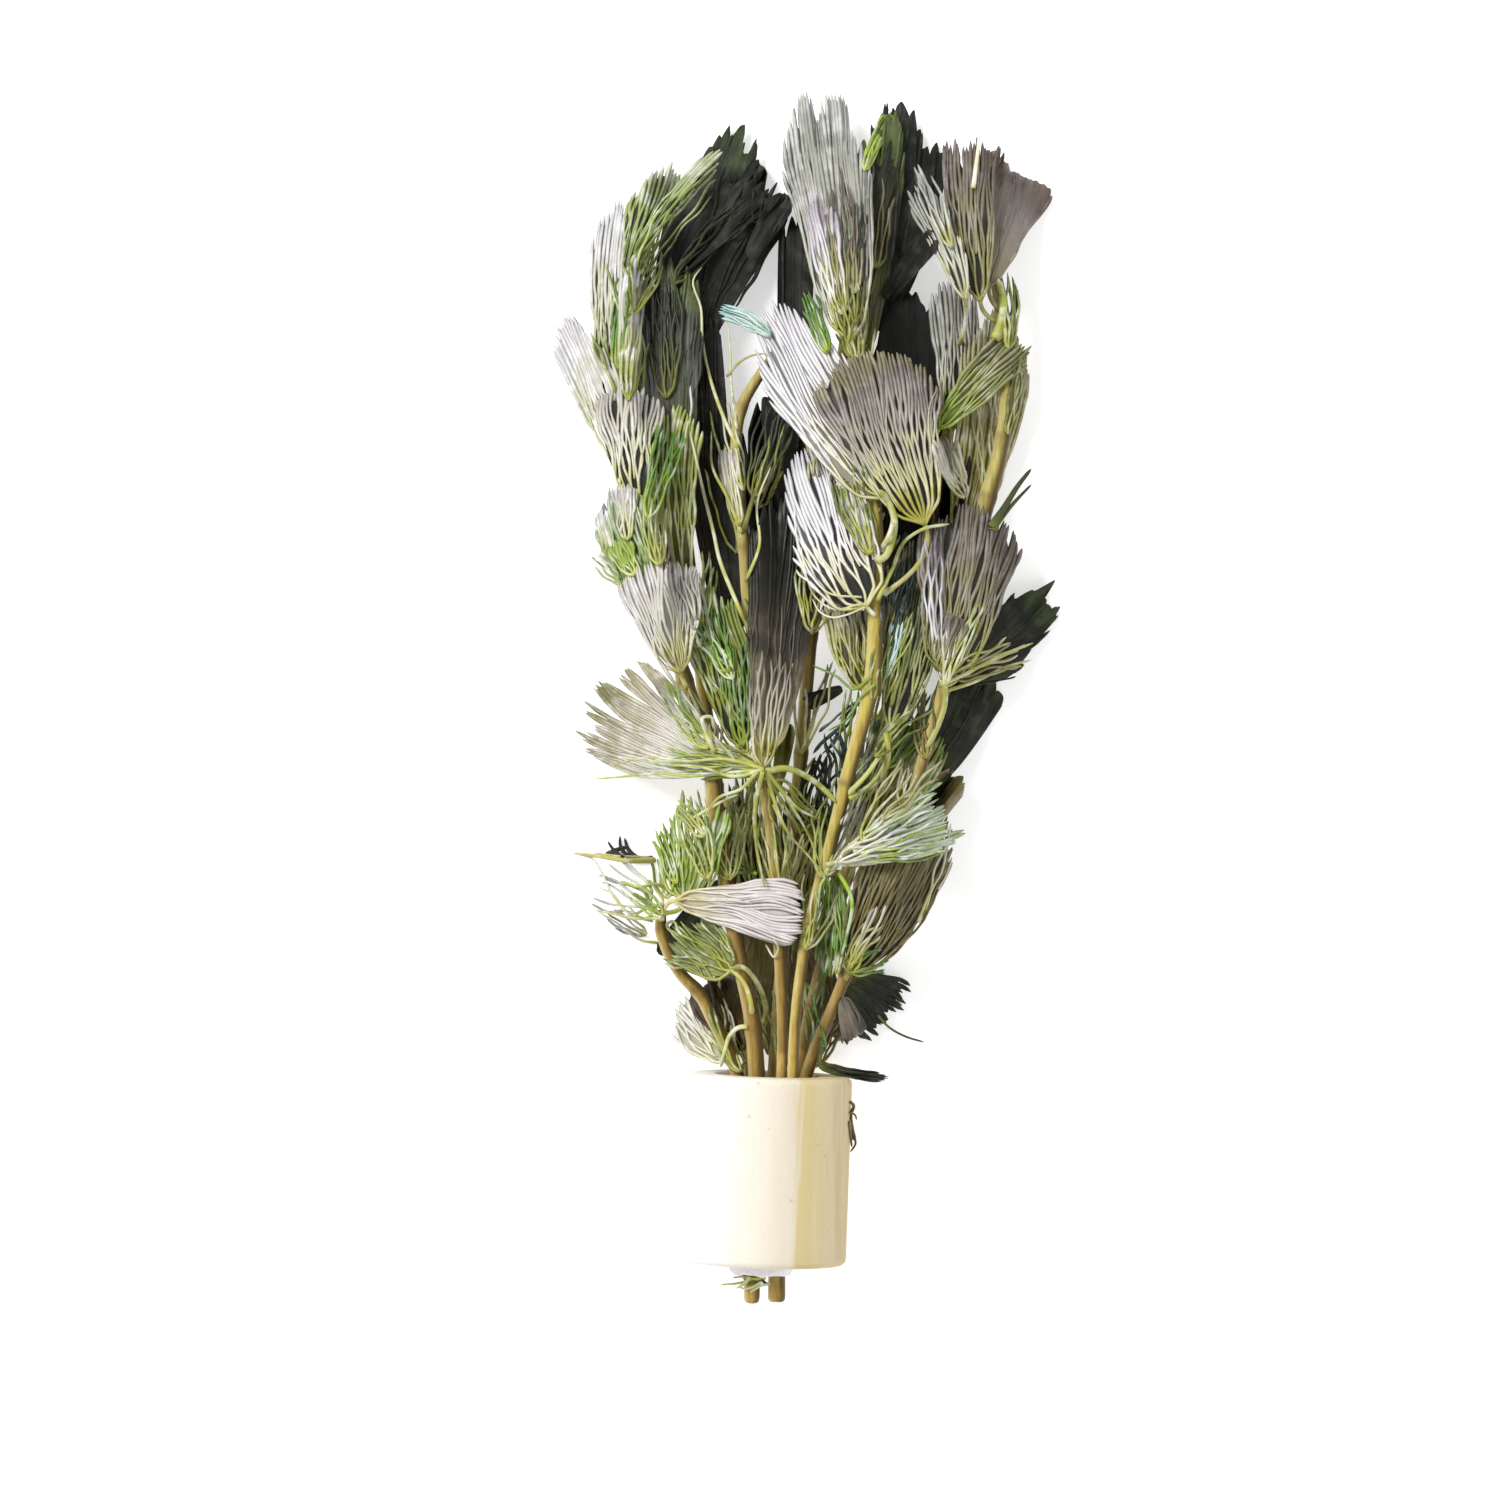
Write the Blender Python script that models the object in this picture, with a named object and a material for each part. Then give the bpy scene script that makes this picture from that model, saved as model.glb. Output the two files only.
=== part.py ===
"""A cut bunch of water weed lying on its side, its stems held in a short ceramic ring by a foam plug.

Lengths are millimetres until a mesh is made, and metres in the meshes. The bunch is laid out in the
ring's own frame: x across, y along the ring's axis from its lower end towards the leaf tips, and z up
from the surface that the bunch lies on. At the end one empty carries it all, and puts the middle of
its footprint over the origin.

Stems and leaves are laid one after another, as a florist lays them: each keeps the height that it was
given, unless something already lies there, and then it rests on that.
"""

import math

import bmesh
import bpy
import numpy as np
from mathutils import Matrix, Vector

MM = 0.001

RING_RADIUS = 14.0
RING_BORE = 8.4
RING_LENGTH = 31.0
RING_ROUNDING = 1.1
RING_FACETS = 40
AXIS_HEIGHT = RING_RADIUS

FOAM_RADIUS = RING_BORE - 0.35
FOAM_TOP = 27.0
FOAM_SIDES = 20

STEM_SIDES = 6
GAP = 0.34

STALK_WIDTH = 0.95
LEAF_THICKNESS = 0.8
TIP_THICKNESS = 0.5
FINGER_NOTCH = 0.1
FINGER_WIDTH = 2.2

# How fast a fan opens: its half width grows with its length to this power. Most leaves, then others.
OPENING = 0.45
OPENS = {
    "fan_left": 0.95,
    "white_right": 0.8,
    "silver_right_top": 0.8,
    "white_near": 0.65,
    "mauve_left": 0.6,
    "green_hanging": 0.6,
    "white_long": 0.55,
    "mauve_right": 0.38,
    "silver_net": 0.3,
}

# How much the corners of a fan's rim draw back, as a share of its length: most leaves, then rounder ones.
RIM_DROP = 0.11
ROUNDER = {
    "silver_top": 0.2,
    "silver_net": 0.3,
    "mauve_fan": 0.2,
    "mauve_right": 0.18,
    "black_round": 0.18,
}

# A leaf leans away from the bunch's middle the further out it lies, and its sides droop, per millimetre.
LEAN = 0.017
MIDDLE_X = 3.0
DROOP = 0.035

CELL = 0.5
FIELD_LOW = (-55.0, -15.0)
FIELD_HIGH = (60.0, 205.0)

TONES = {
    "black": "#2A2C26",
    "olive": "#5C5C3E",
    "green": "#5E7F3A",
    "bright": "#8FA845",
    "silver": "#CFCBCB",
    "mauve": "#8D8079",
    "brown": "#6B5A48",
    "stem_tan": "#A98650",
    "stem_green": "#B9A95A",
    "clay": "#EADFC8",
    "foam": "#F1EDF2",
}

# Each stem is a list of points (x, y, z, radius), from its cut end to where it fades among the leaves.
STEMS = {
    "left_low": [
        (-2.2, 2, 11.6, 1.1), (-2.4, 15, 11.4, 1.1), (-2.8, 31, 11.0, 1.1), (-4.5, 45, 9.8, 1.1),
        (-7, 60, 9.0, 1.1), (-10, 78, 8.4, 1.1), (-13, 95, 8.0, 1.1), (-15.5, 112, 7.6, 1.1),
        (-18, 130, 7.2, 1.0), (-19.5, 147, 7.0, 0.9), (-19, 158, 6.8, 0.8),
    ],
    "centre_low": [
        (2.8, -6.6, 13.4, 1.45), (2.6, 0, 12.9, 1.4), (1.6, 15, 12.6, 1.3), (1.2, 31, 12.2, 1.2),
        (1.6, 45, 11.2, 1.1), (2.2, 60, 10.0, 1.1), (3.5, 80, 9.2, 1.1), (4.5, 100, 8.8, 1.1),
        (5.6, 120, 8.4, 1.1), (7.5, 140, 8.0, 1.0), (9, 158, 7.6, 0.9),
    ],
    "right_low": [
        (5.2, 2, 11.2, 1.1), (5.0, 15, 11.1, 1.1), (5.2, 31, 11.0, 1.1), (7.5, 45, 9.8, 1.1),
        (11, 60, 8.8, 1.1), (15, 76, 8.2, 1.1), (18.5, 92, 7.8, 1.1), (21.5, 108, 7.6, 1.1),
        (24, 124, 7.4, 1.1), (26.5, 140, 7.2, 1.0), (27.5, 156, 7.0, 0.9),
    ],
    "left_short": [
        (-4.6, 2, 14.8, 1.1), (-4.7, 15, 15.0, 1.1), (-5.0, 31, 15.3, 1.1), (-6.6, 35, 15.3, 1.1),
        (-9.2, 39.5, 15.2, 1.05), (-12, 44.3, 14.8, 1.0), (-14.8, 47, 14.5, 1.0),
        (-17, 50.5, 14.2, 1.0), (-18.3, 54, 14.0, 0.95), (-18.6, 57.5, 14.0, 0.9),
    ],
    "right": [
        (6.2, 2, 14.2, 1.05), (6.2, 15, 14.2, 1.05), (6.4, 31, 14.4, 1.05), (8.3, 37, 14.4, 1.05),
        (10.4, 42.5, 14.4, 1.0), (12.4, 48, 14.4, 1.0), (15, 54, 14.2, 1.0), (17.8, 61, 14.0, 1.0),
        (20.4, 70, 13.8, 1.0), (22.6, 79, 13.6, 1.0), (24.6, 87, 13.6, 1.0), (27, 96, 13.6, 1.05),
        (29.4, 108, 13.4, 1.1), (31.4, 118, 13.2, 1.2), (33, 127.5, 13.0, 1.4),
        (34.6, 134, 12.8, 1.3), (35.4, 141, 12.6, 1.1), (35.2, 150, 12.2, 1.15),
        (34.2, 159, 12.0, 1.2), (32.2, 168, 11.6, 0.9),
    ],
    "left": [
        (-1.3, -6.8, 13.9, 1.3), (-1.4, 0, 14.8, 1.35), (-1.5, 15, 16.4, 1.4), (-1.8, 31, 17.6, 1.4),
        (-2.9, 40, 17.8, 1.3), (-5.4, 50, 17.8, 1.15), (-7.2, 58, 17.5, 1.15), (-8.6, 66, 17.3, 1.25),
        (-10.4, 76, 17.2, 1.3), (-11.7, 85, 17.2, 1.3), (-14.2, 91, 17.0, 1.35),
        (-16.4, 97, 16.6, 1.3), (-20, 110, 15.5, 1.2), (-23.5, 124, 14.5, 1.1),
        (-26.2, 140, 13.5, 1.0), (-27.5, 155, 12.5, 0.9), (-25.5, 166, 12.0, 0.8),
    ],
    "middle": [
        (2.0, 2, 17.6, 0.9), (2.2, 15, 18.0, 0.9), (2.3, 31, 18.3, 0.9), (2.1, 40, 18.2, 0.9),
        (1.5, 48, 18.0, 0.95), (0.7, 58, 17.6, 1.0), (0.0, 66, 17.5, 1.1), (-1.0, 73, 17.4, 1.15),
        (-2.2, 80, 17.4, 1.15), (-3.3, 90, 17.6, 1.1), (-4.2, 99, 17.8, 1.05),
        (-5.9, 109, 17.8, 1.1), (-6.9, 118, 17.6, 1.0), (-7.9, 126, 17.2, 0.9),
        (-8.8, 134, 16.8, 0.95), (-8.2, 140.5, 16.6, 0.95), (-5.4, 146, 16.2, 0.85),
        (-2.5, 150.5, 15.6, 0.7),
    ],
    "middle_main": [
        (4.2, 1, 15.6, 0.95), (4.1, 15, 15.9, 0.95), (4.1, 31, 16.5, 0.9), (4.2, 40, 17.3, 0.9),
        (4.7, 47, 17.7, 0.9), (5.5, 53, 18.0, 0.95), (6.8, 60, 18.3, 1.0), (8.2, 65.5, 18.6, 1.05),
        (9.4, 71, 18.8, 1.1), (10.9, 78, 19.0, 1.15), (12.4, 85, 19.2, 1.2), (13.9, 91, 19.4, 1.25),
        (14.8, 96, 19.5, 1.35), (15.1, 104, 19.5, 1.35), (15.1, 112, 19.3, 1.3),
        (14.9, 119, 19.0, 1.15), (14.3, 127, 18.5, 1.0), (13, 139, 17.5, 0.95),
        (11.2, 151, 16.5, 0.85), (10.5, 160, 15.5, 0.7),
    ],
}

# What is laid, from the surface up. A plain name is a stem. A leaf's row says: name, the stem that it
# grows on, how far along the bunch it leaves that stem, the foot of its fan, a point that bends its
# middle line, the fan's tip, its width, its height at the foot and at the tip, and its tone.
LAID_IN_ORDER = [
    ("black_crown", "left_low", 148, (-21, 155), (-14.5, 172), (-9.8, 187.8), 12, 5, 2, "black"),
    ("black_shoulder", "left_low", 140, (-18.5, 147), (-17.5, 164), (-9.2, 179), 21, 6, 4, "black"),
    ("black_core", "left_low", 92, (-8, 102), (-12, 126), (-13.6, 158), 13.5, 6, 5, "black"),
    ("black_top_middle", "centre_low", 108, (2.5, 117), (-2.5, 146), (-3, 178.2), 12.5, 6, 4, "black"),
    ("black_top_right", "centre_low", 150, (13, 154), (17.8, 172), (17.8, 193), 16.5, 6, 2.5, "black"),
    ("black_round", "right_low", 96, (18, 108), (21.5, 132), (18.9, 162), 15, 5, 4, "black"),
    ("black_wedge", "right", 73, (23.6, 78.5), (27.6, 86.5), (33.8, 100), 12.5, 8, 2, "black"),
    ("black_arrow", "right", 92, (29.5, 98), (35.6, 102.4), (44.6, 111.4), 14, 9, 0.4, "black"),
    ("brown_near", "centre_low", 66, (1.2, 60), (1, 47), (1.5, 32), 27, 5, 2.5, "brown"),
    ("net_near_right", "right", 45, (12, 46.8), (15.5, 44.8), (22.2, 39.6), 12.5, 8, 0.4, "black"),
    ("dark_centre_near", "centre_low", 48, (1.4, 54), (0.6, 67), (-0.8, 85), 22, 5, 4, "black"),
    "left_low",
    "centre_low",
    "right_low",
    ("olive_left_long", "left_low", 114, (-17.5, 120), (-21.3, 144), (-21.2, 167.3), 13, 9, 7, "olive"),
    ("green_left_inner", "left_low", 104, (-16.5, 110), (-20.5, 126), (-19, 141.5), 10, 10, 10, "green"),
    ("olive_top_right", "centre_low", 146, (11.8, 150), (12.8, 168), (13.8, 187), 9, 9, 6, "olive"),
    ("green_behind", "right_low", 60, (13.2, 66), (17.5, 77), (23.8, 93), 14, 9.5, 8, "green"),
    ("silver_right_inner", "right_low", 132, (26.8, 138.5), (27.6, 150), (26, 164.5), 8.5, 9, 8, "silver"),
    ("brown_right_upper", "right_low", 110, (28.5, 118), (33.2, 136), (34.2, 158), 13, 8, 7, "brown"),
    ("silver_near_left", "left_short", 33, (-6.4, 33.4), (-9.6, 35.8), (-14.8, 42.2), 10.5, 13, 5, "silver"),
    "left_short",
    "right",
    "left",
    "middle",
    ("green_hanging", "middle", 80, (-1.2, 79.4), (2.2, 76), (6.2, 67.5), 10, 17, 13, "green"),
    ("spiky_dark", "middle_main", 91, (12.2, 92.5), (9, 88.5), (3.9, 82.8), 7, 15, 12, "black"),
    ("olive_centre_right", "middle_main", 93, (13.4, 95), (10.8, 101), (9.8, 111), 8, 17, 15, "olive"),
    ("green_folded", "middle_main", 64.5, (9.8, 63.6), (11, 59), (9.2, 46.5), 5.5, 15, 14, "bright"),
    "middle_main",
    ("olive_near_right", "right", 47, (13, 48.5), (19, 58.5), (26, 78), 17, 15.5, 6, "brown"),
    ("olive_right_inner", "middle_main", 77, (18.2, 88.5), (21.8, 103), (24, 121), 12, 17, 15, "olive"),
    ("mauve_right", "right", 95.5, (27, 97.8), (29.5, 112), (31, 126.6), 16, 16, 12, "mauve"),
    ("bright_right", "right_low", 134, (24.6, 138.6), (30, 146), (38.6, 154.4), 7.5, 14, 14, "bright"),
    ("brown_far_right", "right", 158, (32, 162), (33.2, 172), (37.3, 183.8), 13, 13, 0.4, "brown"),
    ("streaks_right_top", "right", 156, (30.5, 159.5), (28.2, 172), (28, 189), 9, 13.5, 7, "mauve"),
    ("silver_right_top", "right_low", 152, (28, 159.5), (24.4, 171), (19.2, 183.4), 9, 14, 8, "silver"),
    ("silver_left_edge", "left", 128, (-27.5, 135), (-31.8, 154), (-28.8, 177), 8.5, 12, 5, "silver"),
    ("green_left_top", "left", 156, (-27.5, 161), (-26, 172), (-22.2, 182.5), 7, 11, 4, "bright"),
    ("streak_left_top", "left", 160, (-26.5, 165), (-21.5, 174), (-12.6, 183.8), 3.6, 12, 8, "silver"),
    ("silver_far_left", "left", 118, (-25, 126.5), (-30.5, 140), (-38, 155.6), 9, 13, 0.4, "silver"),
    ("pale_left", "left", 116, (-24.5, 124), (-27, 134.5), (-26.2, 144), 11, 15, 12, "silver"),
    ("green_left", "left", 103, (-20.5, 107), (-26.6, 115), (-27.8, 128.4), 11.5, 16, 11, "bright"),
    ("green_centre_left", "middle", 80, (-5.8, 84.5), (-9.4, 97), (-13.6, 111), 11, 17, 14, "green"),
    ("mauve_left", "left", 94, (-16.6, 96.6), (-19.6, 105), (-21, 115.4), 15, 18, 15, "mauve"),
    ("dark_centre", "middle", 80.5, (-2.4, 83.5), (0.6, 100), (-0.6, 129), 13, 19, 13, "brown"),
    ("olive_centre_top", "middle", 120, (-5.7, 126), (-3.8, 134), (-0.8, 143.4), 7, 17, 14, "olive"),
    ("silver_top", "middle_main", 146, (9.4, 152), (6.3, 170), (3.4, 194), 14, 18, 5, "silver"),
    ("rim_right", "right", 37.5, (9.8, 35.6), (14.5, 32.9), (20.6, 30.6), 2.4, 15, 9, "black"),
    ("yellow_left", "left_short", 57, (-14.6, 59.2), (-14, 66), (-15.2, 76.8), 13.5, 15, 10, "bright"),
    ("grey_left", "left_short", 56, (-20.5, 58), (-25, 61), (-32.6, 62.4), 12.5, 12, 0.4, "silver"),
    ("green_near_left", "left", 40, (-6.6, 48.2), (-10.4, 50.2), (-17, 55.6), 11.5, 18, 13, "green"),
    ("fan_left", "middle", 81, (-6.5, 82), (-17, 83.4), (-31.4, 93.8), 24, 20, 0.4, "mauve"),
    ("white_near", "left_short", 55.5, (-16.2, 59.2), (-6.5, 59.2), (4.8, 57.3), 11.5, 16, 19, "silver"),
    ("white_right", "middle_main", 66, (10, 66.6), (20, 71.5), (31.4, 75.6), 12.5, 20, 5, "silver"),
    ("silver_net", "middle_main", 107, (13.4, 108.6), (6.8, 117), (2.2, 135), 15.5, 22, 18, "silver"),
    ("white_long", "middle_main", 117, (16.3, 126.3), (6, 139.5), (-4.4, 160.4), 15, 21, 15, "silver"),
    ("mauve_fan", "middle_main", 110, (22.6, 122.3), (16.8, 136), (13.6, 151), 18, 21, 20, "mauve"),
]


def clear_scene():
    for obj in list(bpy.data.objects):
        bpy.data.objects.remove(obj, do_unlink=True)


def linear(hex_colour):
    """The linear red, green, blue and alpha of an sRGB colour such as #EADFC8."""
    shares = [int(hex_colour[i : i + 2], 16) / 255 for i in (1, 3, 5)]
    return [s / 12.92 if s <= 0.04045 else ((s + 0.055) / 1.055) ** 2.4 for s in shares] + [1.0]


def finish(name, tone, roughness):
    """A material of one tone. Nothing on the bunch is metal."""
    material = bpy.data.materials.new(name)
    material.use_nodes = True
    shader = material.node_tree.nodes["Principled BSDF"]
    shader.inputs["Base Color"].default_value = linear(TONES[tone])
    shader.inputs["Roughness"].default_value = roughness
    shader.inputs["Metallic"].default_value = 0.0
    material.diffuse_color = linear(TONES[tone])
    return material


def new_object(name, points, faces, origin, material, parent):
    """A closed mesh object from points in millimetres, with its own origin at the given place."""
    mesh = bpy.data.meshes.new(name)
    place = Vector(origin) * MM
    mesh.from_pydata([Vector(p) * MM - place for p in points], [], faces)
    work = bmesh.new()
    work.from_mesh(mesh)
    bmesh.ops.recalc_face_normals(work, faces=work.faces)
    work.to_mesh(mesh)
    work.free()
    mesh.shade_smooth()
    mesh.set_sharp_from_angle(angle=math.radians(40))
    mesh.materials.append(material)
    obj = bpy.data.objects.new(name, mesh)
    obj.location = place
    obj.parent = parent
    bpy.context.scene.collection.objects.link(obj)
    return obj


def turned(profile, sides, start_angle):
    """Points and faces of a closed outline (radius, y) turned about the ring's axis."""
    points = []
    for radius, along in profile:
        for k in range(sides):
            angle = start_angle + 2 * math.pi * k / sides
            points.append((radius * math.sin(angle), along, AXIS_HEIGHT - radius * math.cos(angle)))
    faces = []
    rows = len(profile)
    for i in range(rows):
        after = (i + 1) % rows
        for k in range(sides):
            side = (k + 1) % sides
            faces.append((i * sides + k, i * sides + side, after * sides + side, after * sides + k))
    return points, faces


def make_ring(parent):
    """The ceramic ring: a tube with rounded edges, turned so that one flat facet lies on the surface."""
    half_facet = math.pi / RING_FACETS
    widen = 1 / math.cos(half_facet)
    outside = RING_RADIUS * widen
    soft = RING_ROUNDING * (1 - math.cos(math.radians(45)))
    profile = [
        (RING_BORE + 0.5, 0.0),
        (outside - RING_ROUNDING, 0.0),
        (outside - soft, soft),
        (outside, RING_ROUNDING),
        (outside, RING_LENGTH - RING_ROUNDING),
        (outside - soft, RING_LENGTH - soft),
        (outside - RING_ROUNDING, RING_LENGTH),
        (RING_BORE + 0.5, RING_LENGTH),
        (RING_BORE, RING_LENGTH - 0.5),
        (RING_BORE, 0.5),
    ]
    points, faces = turned(profile, RING_FACETS, half_facet)
    clay = finish("bisque_clay", "clay", 0.8)
    new_object("ceramic_ring", points, faces, (0, 0, AXIS_HEIGHT), clay, parent)


def make_foam(stems, parent):
    """The foam plug: a turned plug that tapers out of the ring's lower end, pressed round each stem."""
    middle = 0.05
    profile = [
        (middle, -1.9),
        (4.2, -1.9),
        (5.2, -1.2),
        (6.0, 0.2),
        (FOAM_RADIUS, 2.5),
        (FOAM_RADIUS, FOAM_TOP - 0.8),
        (FOAM_RADIUS - 0.8, FOAM_TOP),
        (middle, FOAM_TOP),
    ]
    points, faces = turned(profile, FOAM_SIDES, 0.0)
    rows = len(profile)
    faces = faces[: (rows - 1) * FOAM_SIDES]
    faces.append(tuple(range(FOAM_SIDES)))
    faces.append(tuple((rows - 1) * FOAM_SIDES + k for k in reversed(range(FOAM_SIDES))))
    white = finish("foam", "foam", 0.95)
    plug = new_object("foam_plug", points, faces, (0, 0, AXIS_HEIGHT), white, parent)
    for name, path in stems.items():
        if path[0][1] > 0:
            first = path[0].copy()
            first[1] -= GAP
            path = np.vstack([first, path[1:]])
        hole_points, hole_faces = tube(path, GAP)
        cutter = new_object("hole_" + name, hole_points, hole_faces, path[0][:3], white, parent)
        cutter.hide_render = True
        cutter.display_type = "WIRE"
        cut = plug.modifiers.new("hole_" + name, "BOOLEAN")
        cut.operation = "DIFFERENCE"
        cut.solver = "EXACT"
        cut.object = cutter


def tube(path, wider=0.0):
    """Points and faces of a tube along rows (x, y, z, radius), with flat ends, widened by a gap."""
    places = path[:, :3]
    along = np.gradient(places, axis=0)
    along /= np.linalg.norm(along, axis=1)[:, None]
    points = []
    for place, direction, radius in zip(places, along, path[:, 3]):
        across = np.cross(direction, (0.0, 0.0, 1.0))
        across /= np.linalg.norm(across)
        upward = np.cross(across, direction)
        for k in range(STEM_SIDES):
            angle = 2 * math.pi * k / STEM_SIDES
            reach = (radius + wider) * (math.cos(angle) * across + math.sin(angle) * upward)
            points.append(tuple(place + reach))
    faces = []
    rows = len(path)
    for i in range(rows - 1):
        for k in range(STEM_SIDES):
            side = (k + 1) % STEM_SIDES
            here, there = i * STEM_SIDES, (i + 1) * STEM_SIDES
            faces.append((here + k, here + side, there + side, there + k))
    faces.append(tuple(reversed(range(STEM_SIDES))))
    faces.append(tuple((rows - 1) * STEM_SIDES + k for k in range(STEM_SIDES)))
    return points, faces


def bent_line(start, control, end, shares):
    """Points on the quadratic curve from start to end that control draws aside."""
    t = np.asarray(shares, float)[:, None]
    return (1 - t) ** 2 * np.array(start) + 2 * t * (1 - t) * np.array(control) + t**2 * np.array(end)


def zipped(first, second):
    """Triangles between two rows, each a list of (place across, point index), from left to right."""
    triangles = []
    i = j = 0
    while i < len(first) - 1 or j < len(second) - 1:
        if j == len(second) - 1 or (i < len(first) - 1 and first[i + 1][0] <= second[j + 1][0]):
            triangles.append((first[i][1], first[i + 1][1], second[j][1]))
            i += 1
        else:
            triangles.append((first[i][1], second[j + 1][1], second[j][1]))
            j += 1
    return triangles


def leaf_plan(root, foot, bend, tip, width, fingers, rim_drop, opening_power):
    """The leaf seen from above: its points, their share along, their place aside, rows and triangles.

    The middle line is a stalk from the root to the fan's foot, then the fan's bent spine. The fan
    widens with its length, its rim is an arc, and the rim is cut into pointed fingers.
    """
    foot, bend = np.array(foot, float), np.array(bend, float)
    opening = (bend - foot) / np.linalg.norm(bend - foot)
    stalk_bend = foot - opening * 0.45 * np.linalg.norm(foot - np.array(root))
    counts = [max(2, fingers // 2 + 1), max(3, fingers), fingers + 1]
    rows = [(-1.0, 2), (-0.62, 2), (-0.28, 2), (0.0, 2)]
    rows += zip((0.26, 0.52, 0.78), counts)
    plan = []
    index_rows = []
    for along, count in rows:
        across = np.linspace(-1, 1, count)
        plan += [(along, u) for u in across]
        index_rows.append(list(across))
    rim = np.linspace(-1, 1, 2 * fingers + 1)
    for k, u in enumerate(rim):
        plan.append((1.0 if k % 2 else 1.0 - FINGER_NOTCH, u))
    index_rows.append(list(rim))
    plan = np.array(plan)
    along, across = plan[:, 0], plan[:, 1]
    reach = np.clip(along, 0, None)
    reach = reach * (1 - rim_drop * across**2 * reach)

    def middle(share):
        stalk = bent_line(root, stalk_bend, foot, 1 + np.minimum(share, 0))
        spine = bent_line(foot, bend, tip, np.maximum(share, 0))
        return np.where((share < 0)[:, None], stalk, spine)

    share = np.where(along < 0, along, reach)
    here = middle(share)
    step = 0.02
    forward = middle(np.where(share < 0, share + step, np.minimum(share + step, 1)))
    back = middle(np.where(share <= 0, np.maximum(share - step, -1), share - step))
    direction = forward - back
    direction /= np.linalg.norm(direction, axis=1)[:, None]
    sideways = np.stack([direction[:, 1], -direction[:, 0]], axis=1)
    half = STALK_WIDTH / 2 + (width - STALK_WIDTH) / 2 * np.clip(along, 0, 1) ** opening_power
    points = here + sideways * (across * half)[:, None]
    labelled = []
    start = 0
    for row in index_rows:
        labelled.append([(u, start + k) for k, u in enumerate(row)])
        start += len(row)
    triangles = [t for a, b in zip(labelled, labelled[1:]) for t in zipped(a, b)]
    return points, along, across * half, labelled, triangles


def cells_under(points, triangles):
    """For each small cell of the surface below a triangle: its row and column, the triangle and weights."""
    found = []
    low = np.array(FIELD_LOW)
    for number, corners in enumerate(triangles):
        a, b, c = points[list(corners)]
        area = (b[0] - a[0]) * (c[1] - a[1]) - (b[1] - a[1]) * (c[0] - a[0])
        if abs(area) < 1e-9:
            continue
        least = np.floor((np.minimum(np.minimum(a, b), c) - low) / CELL).astype(int)
        most = np.ceil((np.maximum(np.maximum(a, b), c) - low) / CELL).astype(int)
        columns, rows = np.meshgrid(np.arange(least[0], most[0] + 1), np.arange(least[1], most[1] + 1))
        x = low[0] + columns * CELL
        y = low[1] + rows * CELL
        wb = ((x - a[0]) * (c[1] - a[1]) - (y - a[1]) * (c[0] - a[0])) / area
        wc = ((b[0] - a[0]) * (y - a[1]) - (b[1] - a[1]) * (x - a[0])) / area
        inside = (wb >= -1e-6) & (wc >= -1e-6) & (wb + wc <= 1 + 1e-6)
        for row, column, second, third in zip(rows[inside], columns[inside], wb[inside], wc[inside]):
            found.append((row, column, number, 1 - second - third, second, third))
    return np.array(found)


def widened(heap):
    """The heap with each cell raised to its highest neighbour, so that nothing slips between cells."""
    padded = np.pad(heap, 1, mode="edge")
    height, width = heap.shape
    shifts = [padded[i : i + height, j : j + width] for i in range(3) for j in range(3)]
    return np.max(shifts, axis=0)


def settle(heap, points, triangles, height, half_thickness):
    """Rests a sheet on the heap: raises its points where something lies in the way, and eases the rise.

    height holds the middle of the sheet's thickness at each point. The heap then takes the sheet in.
    """
    triangles = np.array(triangles)
    cells = cells_under(points, triangles)
    place = (cells[:, 0].astype(int), cells[:, 1].astype(int))
    corners = triangles[cells[:, 2].astype(int)]
    weights = cells[:, 3:6]
    under = ((height - half_thickness)[corners] * weights).sum(axis=1)
    short = widened(heap)[place] + GAP - under
    lift = np.zeros(len(points))
    for corner in corners.T:
        np.maximum.at(lift, corner, short)
    eased = lift
    for _ in range(3):
        total = np.zeros(len(points))
        count = np.zeros(len(points))
        for a, b in ((0, 1), (1, 2), (2, 0)):
            np.add.at(total, triangles[:, a], eased[triangles[:, b]])
            np.add.at(total, triangles[:, b], eased[triangles[:, a]])
            np.add.at(count, triangles[:, a], 1)
            np.add.at(count, triangles[:, b], 1)
        eased = np.maximum(lift, 0.3 * eased + 0.7 * total / count)
    height = height + np.maximum(eased, 0)
    over = ((height + half_thickness)[corners] * weights).sum(axis=1)
    np.maximum.at(heap, place, over)
    return height


def lay_stem(heap, path):
    """Lays a stem on the heap, as the ribbon that it covers from above, and returns its settled path."""
    path = np.array(path, float)
    outside = path[:, 1] >= RING_LENGTH - 1
    laid = path[outside]
    along = np.gradient(laid[:, :2], axis=0)
    along /= np.linalg.norm(along, axis=1)[:, None]
    sideways = np.stack([along[:, 1], -along[:, 0]], axis=1) * laid[:, 3:]
    points = np.concatenate([laid[:, :2] - sideways, laid[:, :2] + sideways])
    rows = len(laid)
    triangles = []
    for i in range(rows - 1):
        triangles += [(i, i + rows, i + 1), (i + 1, i + rows, i + rows + 1)]
    both = np.tile(laid[:, 2], 2)
    radii = np.tile(laid[:, 3], 2)
    height = settle(heap, points, triangles, both, radii)
    path[outside, 2] = np.maximum(height[:rows], height[rows:])
    return path


def stem_at(path, along):
    """The point (x, y, z, radius) of a stem's path at a distance along the bunch."""
    return np.array([np.interp(along, path[:, 1], path[:, k]) for k in range(4)])


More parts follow.
